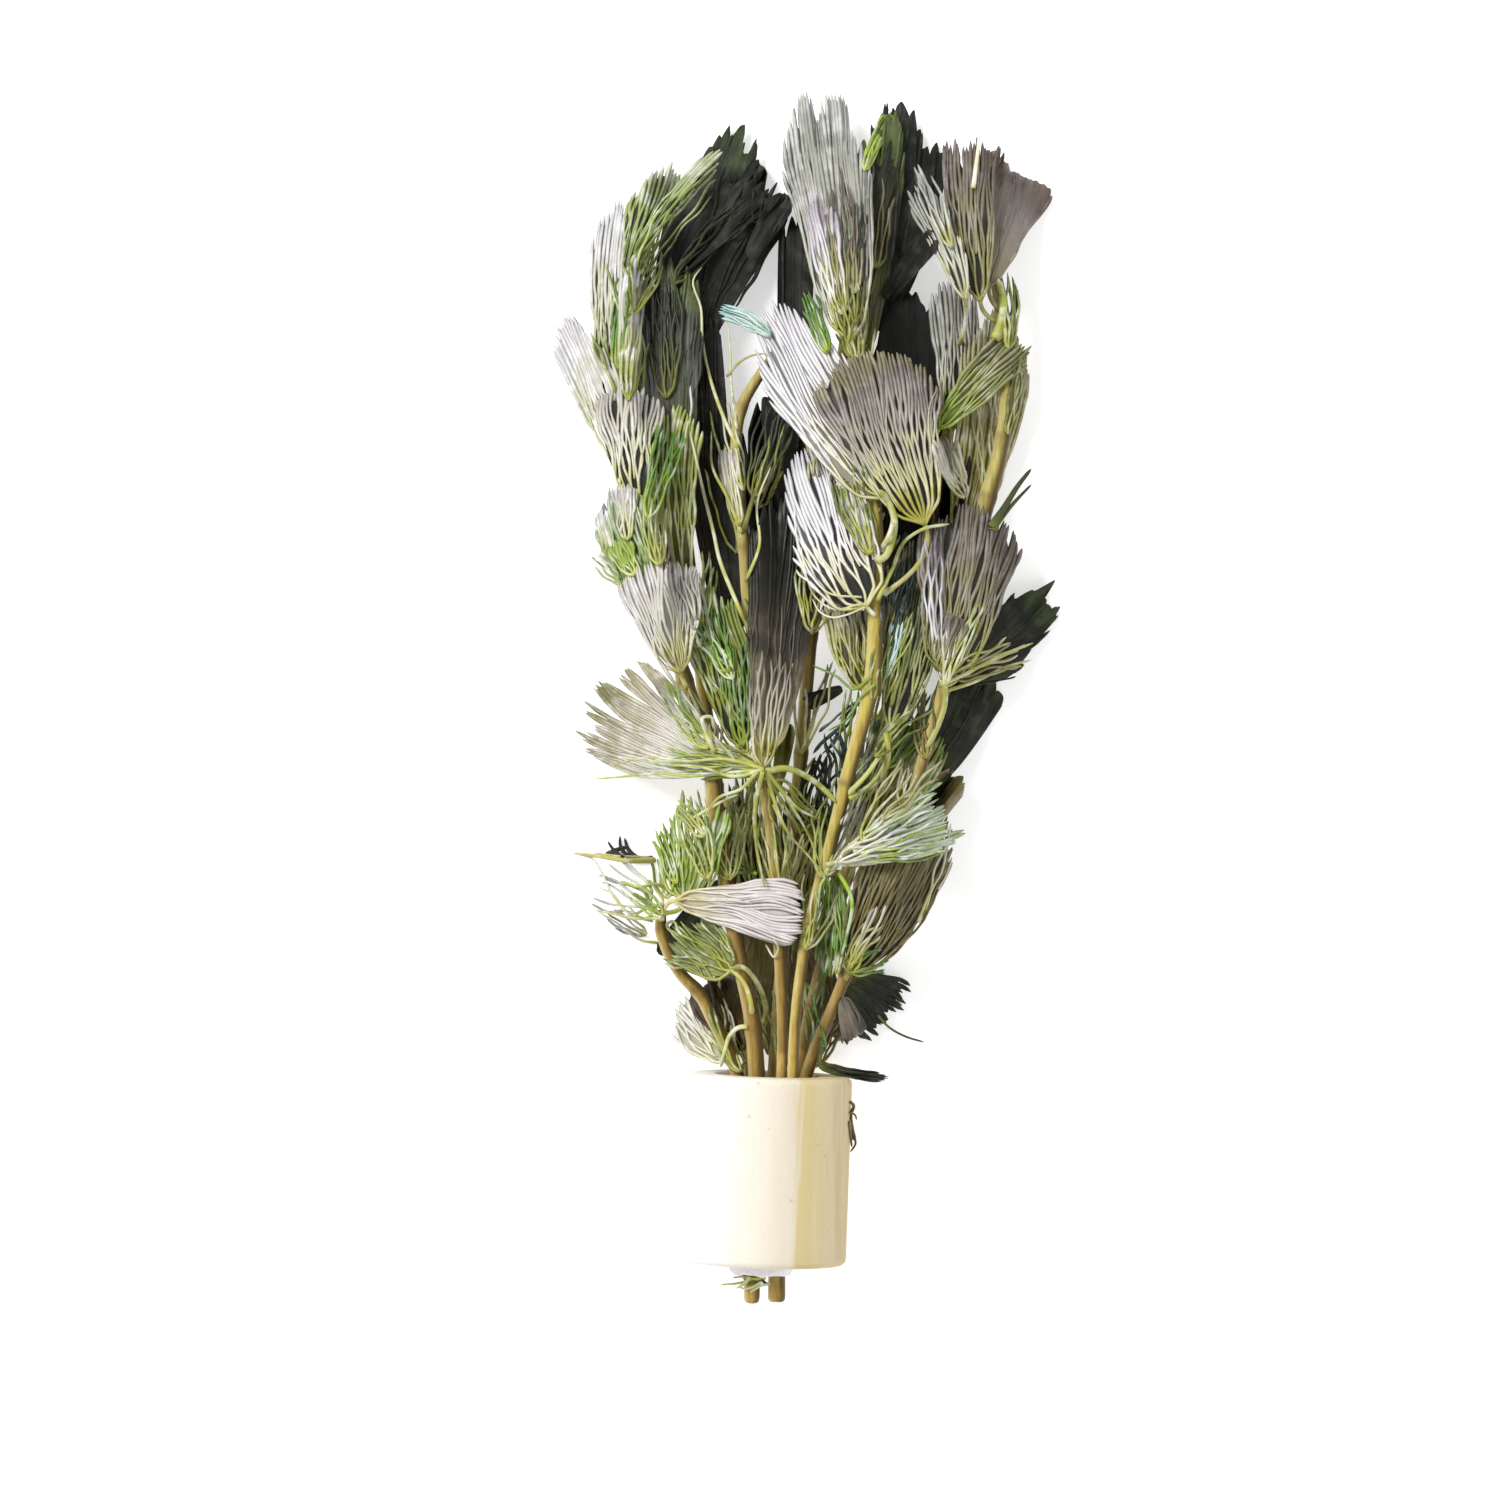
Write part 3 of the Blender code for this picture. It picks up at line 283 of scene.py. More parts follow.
# A fan with nothing behind it shows the surface through its net: an open one has a sheet only further
# out, and a bare one has none.
OPEN = {"sheet": 0.5, "sheet_lift": -0.05, "sheet_shade": 0.25}
BARE = {"sheet": 1.0}
HABITS = {
    "black_crown": DARK, "black_shoulder": DARK, "black_core": DARK, "black_top_middle": DARK,
    "black_top_right": DARK, "black_round": {**DARK, "torn": 0.03, "share": 0.05, "ridge": 0.04},
    "black_wedge": DARK, "black_arrow": {**DARK, "torn": 0.08, "share": 0.35},
    "brown_near": {**DARK, "share": 0.6}, "olive_top_right": {**DARK, "share": 0.5},
    "brown_right_upper": {"close": 0.5, "sheet_shade": 0.7, "strays": 0.4},
    "brown_far_right": {**DARK, "share": 0.3, "torn": 0.02, "finger": 1.2, "ridge": 0.03},
    "dark_centre": {**DARK, "share": 0.6, "torn": 0.08},
    "dark_centre_near": {"share": 0.95, "close": 1.2, "torn": 0.2},
    "olive_near_right": {"slits": 1.5},
    "silver_net": {"close": 0.62, "torn": 0.05, "main": 6},
    "fan_left": {"main": 8, "torn": 0.1, "gather": 0.6, "close": 0.55, **BARE},
    "mauve_fan": {"main": 9, "torn": 0.03, "gather": 0.05, "close": 0.66, "slits": 0.8},
    "white_long": {"close": 0.52, "sheet_shade": 0.65},
    "silver_top": {
        "close": 0.34, "slits": 0.6, "gather": 0.05, "torn": 0.03, "filled": 1.7, "pitch": 0.5,
        "strays": 1.2,
    },
    "white_near": {
        "close": 0.36, "slits": 0.4, "filled": 1.6, "torn": 0.05, "sheet_shade": 0.35, "pitch": 0.5,
    },
    "mauve_left": {"close": 0.5, "slits": 0.5, "sheet_shade": 0.6, "pitch": 0.55},
    "green_near_left": {"close": 1.1, "torn": 0.2, "sheet_shade": 0.4},
    "green_left": {"close": 0.7, "sheet_shade": 0.8, "slits": 1.3, "torn": 0.14, "strays": 0.6},
    "olive_left_long": {**DARK, "share": 0.9, "torn": 0.14, "close": 0.7, "gather": 0.3},
    "green_folded": {"sheet_shade": 0.4},
    "silver_near_left": {"sheet_shade": 0.45, "close": 0.75},
    "bright_right": {"close": 0.5, "sheet_shade": 0.5},
    "green_behind": {"sheet_shade": 0.8, "strays": 0.5},
    "green_left_inner": {"sheet_shade": 0.8, "strays": 0.4},
    "white_right": {"torn": 0.2, "gather": 0.3, **BARE},
    "yellow_left": {"torn": 0.25, "gather": 0.35, "close": 0.85, "sheet_shade": 0.6},
    "green_hanging": {"torn": 0.3, "close": 1.3, "share": 0.6, **BARE},
    "silver_right_top": {"torn": 0.2, "gather": 0.6},
    "net_near_right": {**DARK, "share": 0.7, "torn": 0.14, "sheet_end": 0.92},
    "spiky_dark": {"torn": 0.5, "gather": 0.6, "share": 0.7, **BARE},
    "grey_left": {"close": 1.3, "torn": 0.25, "share": 0.5, **BARE},
    "silver_far_left": OPEN,
    "olive_centre_top": {"close": 1.3, "torn": 0.25, "share": 0.6, **BARE},
}
# How sprigs differ from other fans: a dark one is a sheet, a leafy one closes, a net and a loose one
# stay open.
SPRIG_HABITS = {
    "dark": {**DARK, "sheet": 0.0, "tone_from": 0.4},
    "leafy": {"sheet": 0.3, "sheet_lift": -0.1, "close": 0.5, "sheet_shade": 0.3},
    "net": {"sheet": 1.0, "close": 1.1, "torn": 0.2, "share": 0.85, "strays": 0.5},
    "loose": {"sheet": 1.0, "close": 1.5, "torn": 0.35, "share": 0.6, "stout": 0.44, "strays": 0.6},
}
# A sheet that would start beyond this share of a fan isn't made.
NO_SHEET = 0.9

# Small leaves that lie on the larger ones: skin, habit, foot, bend, tip, width, and for some the height
# above which leaves are passed over, so that a sprig can lie under a high leaf. For the others it is TOP,
# which is above them all.
TOP = 40.0
SPRIGS = [
    ("black", "dark", (-8, 166), (-5, 171), (-1.6, 177.6), 5),
    ("black", "dark", (-19, 163), (-13, 171), (-4.5, 177.5), 5),
    ("black_olive", "loose", (-20, 161), (-14, 170), (-6, 176.6), 6),
    ("yellow_on_black", "loose", (-25, 163), (-20, 172), (-13, 180), 5),
    ("black", "dark", (-12.5, 172), (-9, 178), (-6.4, 182.8), 3),
    ("black_olive", "loose", (-14, 168), (-12, 177), (-9.8, 186), 6),
    ("black", "dark", (15, 160), (19, 166), (22.8, 171), 5),
    ("yellow_green", "net", (13.6, 117), (11.6, 124), (8.4, 132.6), 7),
    ("yellow_green", "net", (35.4, 152), (36.2, 158), (34.8, 165.6), 4),
    ("yellow_green", "loose", (-8, 117), (-11, 128), (-14.6, 141), 6),
    ("pale", "loose", (-7.4, 127), (-9, 136), (-11.8, 147), 4),
    ("bright", "loose", (-3, 81.2), (-12, 81.6), (-24, 81), 5),
    ("pale_green", "loose", (-3, 81.6), (-11, 84.4), (-20, 86), 5),
    ("pale_green", "loose", (-11, 63), (-12.6, 70), (-16.6, 76.4), 6),
    ("bright", "loose", (-16, 62), (-18.4, 68), (-20.6, 73.4), 3.5),
    ("bright", "loose", (-26, 162), (-23.5, 170), (-18.6, 176.5), 3),
    ("yellow_green", "net", (10.6, 149), (9.6, 156), (8.6, 166), 6),
    ("black_olive", "dark", (13, 172), (14.6, 184), (16.2, 192.6), 6),
    ("bright", "leafy", (10.8, 181), (12.4, 187), (15.4, 191.4), 2.6),
    ("mauve_grey", "loose", (13.4, 165), (13.8, 174), (14.4, 184), 6),
    ("olive", "net", (11.8, 160), (12.4, 168), (12, 178), 4),
    ("yellow_green", "net", (35.8, 138), (37.4, 144), (37.8, 152.6), 4),
    ("olive_tan", "net", (33.6, 126), (33, 137), (31, 149), 6, 12.4),
    ("cream", "leafy", (29.4, 127.5), (27, 131), (24.8, 137.6), 5),
    ("yellow_olive", "loose", (28, 98), (34, 100), (41.8, 103.6), 7),
    ("mauve", "net", (-2.6, 81.6), (-2.4, 92), (-1.2, 103.5), 8),
    ("fresh_green", "net", (-22.8, 121.6), (-20.8, 130), (-18.4, 140), 5),
    ("pale_green", "net", (-20.6, 114), (-22, 120), (-22.6, 128), 5),
    ("fresh_green", "net", (-9, 97), (-11.6, 102), (-14, 109.6), 6),
    ("pale", "leafy", (-26, 118), (-26.6, 122.6), (-26.8, 127.4), 4),
    ("olive", "net", (-20.6, 142), (-21, 152), (-22.6, 165), 7),
    ("green", "net", (-29, 146), (-29, 156), (-28, 165), 3),
    ("yellow_green", "net", (-5, 124.6), (-2.4, 131), (-1.4, 139), 5),
    ("pale", "leafy", (-7.8, 121), (-10, 128), (-10.4, 135.4), 3),
    ("yellow_green", "loose", (-5.4, 83), (-8.4, 91), (-13.4, 100), 9),
    ("green", "loose", (-6, 85), (-8, 96), (-7.5, 108), 6),
    ("bright", "loose", (-11.6, 84.5), (-15, 89), (-20.2, 96.5), 6),
    ("pale_green", "loose", (-11.8, 70), (-14, 73), (-18.6, 77), 4),
    ("yellow_green", "loose", (-3.2, 80.5), (-4.6, 72), (-4, 60.6), 5, 18.6),
    ("yellow_on_black", "net", (-8.8, 64), (-6, 72), (-6.8, 81), 6, 17.0),
    ("black_olive", "dark", (10.2, 95.2), (7.4, 93.8), (3.6, 92.2), 3),
    ("blue_black", "loose", (11.2, 80), (9.6, 84), (8, 88.6), 4, 18.6),
    ("blue_black", "net", (9, 74), (8.2, 80), (6.2, 86.6), 5, 16.0),
    ("black_olive", "net", (4.2, 71), (6, 78), (8.6, 86), 6, 15.0),
    ("yellow_green", "loose", (15.6, 90), (18, 99), (19.6, 110), 8),
    ("green", "net", (17.6, 82), (21.5, 90), (25.4, 98), 8, 14.2),
    ("green_white", "net", (12.6, 68.6), (20, 74), (30.6, 80), 7),
    ("bright", "loose", (14, 68), (22, 68.6), (31, 71.6), 5),
    ("green", "loose", (9.6, 64), (9.4, 52), (6.6, 38.6), 4),
    ("yellow_green", "loose", (9, 62), (11, 54), (11, 46), 4),
    ("grey_silver", "loose", (-21, 53), (-26, 55), (-30, 58.6), 4),
    ("brown_bark", "dark", (-4.4, 34.6), (-7.4, 39), (-10.4, 47), 9, 14.0),
    ("yellow_on_black", "net", (2.6, 31.6), (0.4, 39), (-1.8, 48), 6, 15.4),
    ("brown_olive", "net", (7, 31.6), (9.4, 38), (13, 45.6), 7, 13.6),
    ("yellow_green", "net", (-4.4, 31.4), (-7.4, 36), (-9.4, 43), 5),
    ("mauve_brown", "dark", (12, 44), (13.4, 40.4), (14.6, 37), 5),
    ("silver", "net", (26, 99), (22.8, 111), (24.8, 124), 4),
    ("grey_silver", "net", (25.4, 168), (22.8, 175), (19.2, 184), 4.4),
    ("mauve_grey", "loose", (8.4, 157), (6, 170), (4.6, 185), 9),
    ("olive", "loose", (10, 155), (10, 168), (10.6, 183), 5),
    ("silver", "leafy", (7.8, 156.4), (5, 165), (3, 177), 5.4),
    ("mauve_grey", "net", (9.8, 160), (9.4, 168), (9.8, 178), 4),
    ("mauve_grey", "leafy", (25.6, 98.6), (27.2, 103), (28.4, 108.4), 5),
    ("brown_olive", "net", (24.2, 84), (23.4, 90), (23.4, 97), 5),
    ("blue_black", "net", (17, 99), (18, 107), (20.4, 119), 6),
    ("teal_glint", "loose", (16.8, 97), (18, 103), (20.2, 110), 3),
    ("white", "net", (10.4, 66.6), (16, 69.2), (24.4, 71.4), 6),
    ("blue_black", "leafy", (16.6, 104), (18.2, 112), (20, 122), 5, 12.6),
    ("blue_black", "net", (11.6, 76), (14, 84), (14.6, 93), 5, 17.0),
    ("brown_olive", "dark", (21, 68), (25, 75), (29.8, 82.4), 7, 14.0),
    ("pale", "loose", (24, 57), (27.2, 65), (29.6, 76), 4),
    ("yellow_green", "loose", (16, 84), (20, 88.6), (26, 93), 6),
    ("olive_tan", "loose", (14, 70), (19, 78), (26.4, 86), 7),
    # A near-black sprig of painted shade that fills the shade in a gap between leaves.
    ("black", "dark", (-3, 104), (-3.2, 124), (-2.6, 145), 9, 12.0),
    ("black", "dark", (25, 106), (26.4, 122), (26.6, 139), 7, 10.0),
    ("yellow_on_black", "loose", (3.6, 71), (5.6, 79), (9.4, 86), 7, 15.0),
    ("yellow_on_black", "dark", (-0.6, 77), (1, 83), (1.2, 90), 3.4, 15.0),
    ("black_olive", "dark", (-19, 50), (-13, 54), (-7, 62), 8, 9.0),
    ("yellow_green", "loose", (-18.6, 57.6), (-21.6, 61), (-25, 63.4), 6.5),
    ("bright", "loose", (-17.6, 59.4), (-18.8, 63), (-18.6, 67.4), 5),
    ("bright", "loose", (-18.2, 56.6), (-21, 58), (-24.6, 60.6), 5),
    ("pale_green", "loose", (-17.4, 55.4), (-15.6, 54), (-13, 50.6), 4),
    ("fresh_green", "loose", (-3, 64), (-8, 63), (-13.6, 66), 5, 18.0),
    ("fresh_green", "loose", (8.4, 64), (8.4, 56), (7.4, 45), 3.4),
    ("fresh_green", "leafy", (10, 65), (11.4, 58), (11, 50.6), 2.6),
    ("fresh_green", "loose", (6, 46), (6.8, 39), (9.6, 31.6), 3, 18.0),
    ("yellow_green", "loose", (6.2, 62), (4.6, 52), (4.2, 42), 3, 16.6),
    ("green", "loose", (13, 48.6), (16.4, 50.4), (21, 51), 5),
    ("yellow_olive", "loose", (12.6, 48.4), (14, 54), (17.6, 57.4), 5),
    ("pale", "loose", (12.8, 49), (18, 56), (21, 66), 5),
    ("lilac", "loose", (-12, 100), (-15, 108), (-17.4, 116), 5),
    ("green_white", "loose", (-8, 96), (-11.5, 100), (-15.4, 108.6), 4),
    ("streak", "loose", (-17, 126), (-17, 136), (-15.6, 147), 3.5),
    ("streak", "leafy", (-26.6, 141), (-27.6, 152), (-26.2, 164.6), 4.5),
    ("teal_glint", "leafy", (-3.8, 152.5), (-7.4, 155.4), (-12.6, 157), 3),
    ("fresh_green", "net", (5.6, 150), (3.6, 156), (0.8, 161.6), 3.4, 20.0),
    ("green_white", "loose", (-27.4, 111.4), (-30, 114), (-32.7, 116.2), 3),
    ("green_white", "loose", (-27.8, 113), (-30, 115.6), (-32.6, 116.7), 2.4),
    ("streak", "leafy", (-28.6, 115), (-29.6, 119), (-31, 123.6), 2.6),
    ("bright", "leafy", (-24.6, 112.4), (-26.4, 115), (-27.8, 118), 4.5),
    ("black_olive", "dark", (-7, 172), (-6.6, 178), (-6.2, 182.4), 2.5),
]

# Threads: skin, width at its start and end, how high it lies over the leaves, and its points (x, y).
THREADS = [
    ("pale", 0.7, 0.3, 0.6, [(-8.6, 134), (-11, 139), (-13.6, 146), (-15, 152), (-15.4, 157),
        (-16.8, 162), (-15.5, 164)]),
    ("pale", 0.6, 0.3, 0.6, [(-8.8, 137), (-10, 145), (-10.4, 151), (-11, 155.5)]),
    ("yellow_olive", 0.5, 0.25, 0.9, [(-10.7, 146), (-8.4, 148.4), (-6, 149.4), (-4, 149.5)]),
    ("pale", 0.8, 0.4, 0.6, [(-5.6, 104), (-8.5, 110), (-11, 116), (-12, 120), (-14, 127), (-16.5, 136.5)]),
    ("yellow_olive", 0.7, 0.3, 0.5, [(-7.4, 120), (-10, 126), (-12.6, 131), (-13, 137)]),
    ("pale", 0.6, 0.3, 0.8, [(-6.4, 112), (-4.4, 118), (-5, 125), (-3, 131)]),
    ("yellow_green", 1.2, 1.1, 0.8, [(14.9, 116), (16, 116.6), (17.3, 119.5), (17.5, 123),
        (16, 126.4), (15, 127.6)]),
    ("pale_green", 0.7, 0.5, 0.6, [(15.2, 109.6), (17.6, 115), (19.5, 119.6), (22, 121.4), (26.6, 122.6)]),
    ("yellow_green", 0.8, 0.5, 0.8, [(11.8, 77), (14, 78.4), (15.8, 80), (17.6, 83.4), (18.2, 88)]),
    ("green", 0.6, 0.3, 0.8, [(14.5, 97), (12, 95), (9, 97), (5, 98.7)]),
    ("green", 0.5, 0.3, 0.8, [(15.4, 96), (13, 93.6), (11, 90), (8, 88)]),
    ("yellow_green", 1.1, 0.9, 0.9, [(-2, 81), (1, 81.6), (5, 80.2), (8, 78), (9.6, 76.4)]),
    ("yellow_green", 0.8, 0.4, 1.2, [(-2, 81), (0.6, 78), (3.6, 75), (7, 73.4)]),
    ("yellow_green", 0.7, 0.3, 1.2, [(-2, 81), (-0.4, 76), (2, 71), (5.4, 67.4), (8.4, 64)]),
    ("yellow_green", 0.6, 0.3, 1.2, [(-2, 81), (1.6, 76.6), (5.2, 71), (7.4, 66)]),
    ("bright", 0.6, 0.3, 0.9, [(-2.4, 81.2), (-8, 80.6), (-14, 79.8), (-20, 80), (-26, 79.2),
        (-30.5, 78.7)]),
    ("pale_green", 0.6, 0.3, 1.1, [(-2.4, 81.4), (-9, 82.8), (-15, 82.2), (-21, 82.6), (-28, 81)]),
    ("olive_tan", 1.0, 0.5, 0.6, [(-20, 65.5), (-24, 65.3), (-29, 65.8), (-33.6, 66.2)]),
    ("olive_tan", 0.7, 0.4, 0.9, [(-21, 65.9), (-25, 65.9), (-30, 66.3)]),
    ("black", 1.4, 0.4, 0.6, [(-20.4, 65.5), (-23, 65.7), (-24.6, 67.2), (-25.2, 69)]),
    ("black", 1.4, 0.4, 0.7, [(-20.4, 65.5), (-24, 65.6), (-25.8, 67.4), (-26, 69.3)]),
    ("black", 1.3, 0.4, 0.6, [(-20.4, 65.5), (-25, 65.7), (-27, 67.2), (-27.9, 68.4)]),
    ("black", 1.0, 0.6, 0.8, [(-27.9, 66.2), (-26.4, 67), (-24.4, 67.6)]),
    ("black", 1.2, 0.4, 0.6, [(36.5, 158.4), (37.1, 160.4), (37.2, 163)]),
    ("yellow_green", 1.6, 1.0, 0.3, [(33.2, 153.6), (34.2, 156.6), (34.4, 160), (33.4, 163.4)]),
    ("bright", 1.5, 0.9, 0.9, [(-8.6, 75), (-7.6, 76.4), (-6.8, 78.4)]),
    ("yellow_olive", 1.1, 0.9, 0.5, [(26.8, 97), (27, 93), (25.8, 89), (24.2, 85.6)]),
    ("yellow_olive", 0.9, 0.7, 0.9, [(17.4, 88), (18, 84), (17, 80.6), (14.6, 78)]),
    ("pale_green", 0.7, 0.4, 1.2, [(-3.4, 81), (-6, 78), (-9.6, 76.4), (-12, 73)]),
    ("yellow_green", 0.8, 0.4, 1.2, [(-2.6, 81), (-3.6, 75), (-3.2, 69), (-1.6, 62)]),
    ("bright", 0.7, 0.4, 1.1, [(-16.6, 60), (-19.4, 61.6), (-22.4, 61.2), (-25.4, 62)]),
    ("yellow_olive", 0.6, 0.3, 1.0, [(-19, 57), (-21.6, 56), (-25, 56.4), (-29.4, 57)]),
    ("fresh_green", 0.8, 0.4, 1.2, [(10.4, 65), (12.6, 61), (12, 54), (11.4, 51)]),
    ("pale_green", 0.7, 0.4, 1.1, [(-2.4, 81.4), (-7, 80), (-13, 81.4), (-18, 81.4)]),
    ("pale", 0.6, 0.4, 0.8, [(-14.2, 72.6), (-11, 74.6), (-8, 76.4), (-6.4, 77)]),
    ("pale", 0.8, 0.5, 1.0, [(-10.6, 84), (-12, 87), (-12.6, 89.4), (-11.4, 89.6), (-10.8, 87.6)]),
    ("yellow_green", 1.0, 0.8, 0.8, [(-1, 38.6), (-0.6, 41.5), (-1.4, 44.4), (-2.6, 46.6),
        (-5, 48.8), (-6.6, 48.6)]),
    ("pale", 0.8, 0.6, 0.8, [(-3.6, 39), (-5, 38.8), (-6.4, 37.4), (-7.2, 34.6), (-7.8, 32)]),
    ("pale", 0.35, 0.3, 1.0, [(-1, 52.4), (0.4, 50.6), (1, 52), (0.2, 53.6)]),
    ("grey_silver", 0.6, 0.3, 0.6, [(-24.4, 57), (-27, 60), (-28.6, 63), (-30.4, 65.4), (-33, 66)]),
    ("grey_silver", 0.5, 0.3, 0.6, [(-19, 51.6), (-22, 52), (-25.6, 54.6), (-29.6, 57)]),
    ("grey_silver", 0.5, 0.3, 0.6, [(-20, 55.4), (-24, 56.6), (-27, 60), (-29, 60.6)]),
    ("black_olive", 1.3, 0.6, 0.6, [(33.6, 122.6), (35.5, 125.4), (38, 129.6), (40.2, 132.6)]),
    ("black_olive", 0.9, 0.4, 0.6, [(34, 122), (36.8, 126), (40.3, 130)]),
    ("yellow_olive", 0.7, 0.4, 0.8, [(26, 96), (31, 98.6), (36, 101.4), (41.6, 103.8)]),
    ("yellow_olive", 0.7, 0.35, 0.7, [(26.4, 95), (32, 97), (37, 99.6), (41.5, 101)]),
    ("black_olive", 0.45, 0.3, 0.5, [(18, 41), (20, 39), (23, 37.4), (26, 36.6)]),
    ("white", 0.8, 0.35, 0.8, [(28.8, 178.4), (29.4, 184), (29.8, 190.6)]),
    ("pale_green", 0.5, 0.35, 0.5, [(0.4, -2.6), (-2, -3), (-4, -3.6), (-6.5, -4)]),
    ("pale_green", 0.6, 0.3, 0.7, [(0.8, -2.4), (-1.2, -2.6), (-3.4, -2.4), (-4.6, -2.7)]),
    ("green_white", 0.6, 0.3, 0.9, [(0.6, -2.6), (-0.6, -3.6), (-2.4, -4.3), (-3.4, -4.2)]),
    ("green_white", 0.6, 0.3, 1.1, [(1.6, -3.4), (0, -3.8), (-1.6, -4.8)]),
    ("green_white", 0.7, 0.3, 1.2, [(-1.8, -2.3), (-2.4, -3.2), (-4, -4.4)]),
    ("black_olive", 0.7, 0.5, 0.5, [(-2.8, -2.2), (-2, -3.2), (-0.4, -2.6), (1.2, -3.6)]),
    ("brown_bark", 0.5, 0.9, 0.5, [(13.7, 27.2), (14.3, 26.6), (13.9, 25), (14.2, 22.6), (14.7, 20.6)]),
    ("brown_bark", 0.6, 0.3, 0.9, [(13.9, 24.6), (14.4, 22), (14.9, 20), (14.1, 18.6)]),
    ("brown_bark", 0.4, 0.25, 0.5, [(13.7, 25.4), (14.6, 25), (14.9, 24.2)]),
    ("brown", 0.5, 0.35, 1.0, [(13.7, 24), (14, 21.6), (14.3, 19.6)]),
    ("white", 0.35, 0.25, 0.8, [(12.8, 109), (8, 108), (5, 110), (3.4, 113.4), (2.4, 118)]),
    ("white", 0.35, 0.25, 0.8, [(12.6, 110), (7, 110.6), (3.6, 114.4), (1.8, 119), (1, 125)]),
    ("white", 0.35, 0.25, 0.8, [(13.2, 108.4), (10, 107), (8, 106.6), (6, 107.4), (4.6, 109.6)]),
]

# Where stems carry whorls of thin stalks, as distances along the bunch, and the skins of those.
WHORLS = {
    "left": (100, 160), "middle": (50, 115), "middle_main": (50, 200), "right": (60, 120),
    "left_low": (60, 110), "centre_low": (50, 130),
}
WHORL_SKINS = ("yellow_green", "pale_green", "pale", "yellow_olive")
WHORL_CEILING = 19.5

# The material slot that each sprig's skin belongs to. The others are leaf_silver.
SLOTS = {
    "leaf_black": ("black", "black_olive", "blue_black"),
    "leaf_olive": ("olive", "olive_tan", "yellow_olive", "yellow_on_black"),
    "leaf_brown": ("brown", "brown_olive", "brown_bark"),
    "leaf_green": ("green", "fresh_green", "yellow_green"),
    "leaf_bright": ("bright", "pale_green"),
    "leaf_mauve": ("mauve",),
}
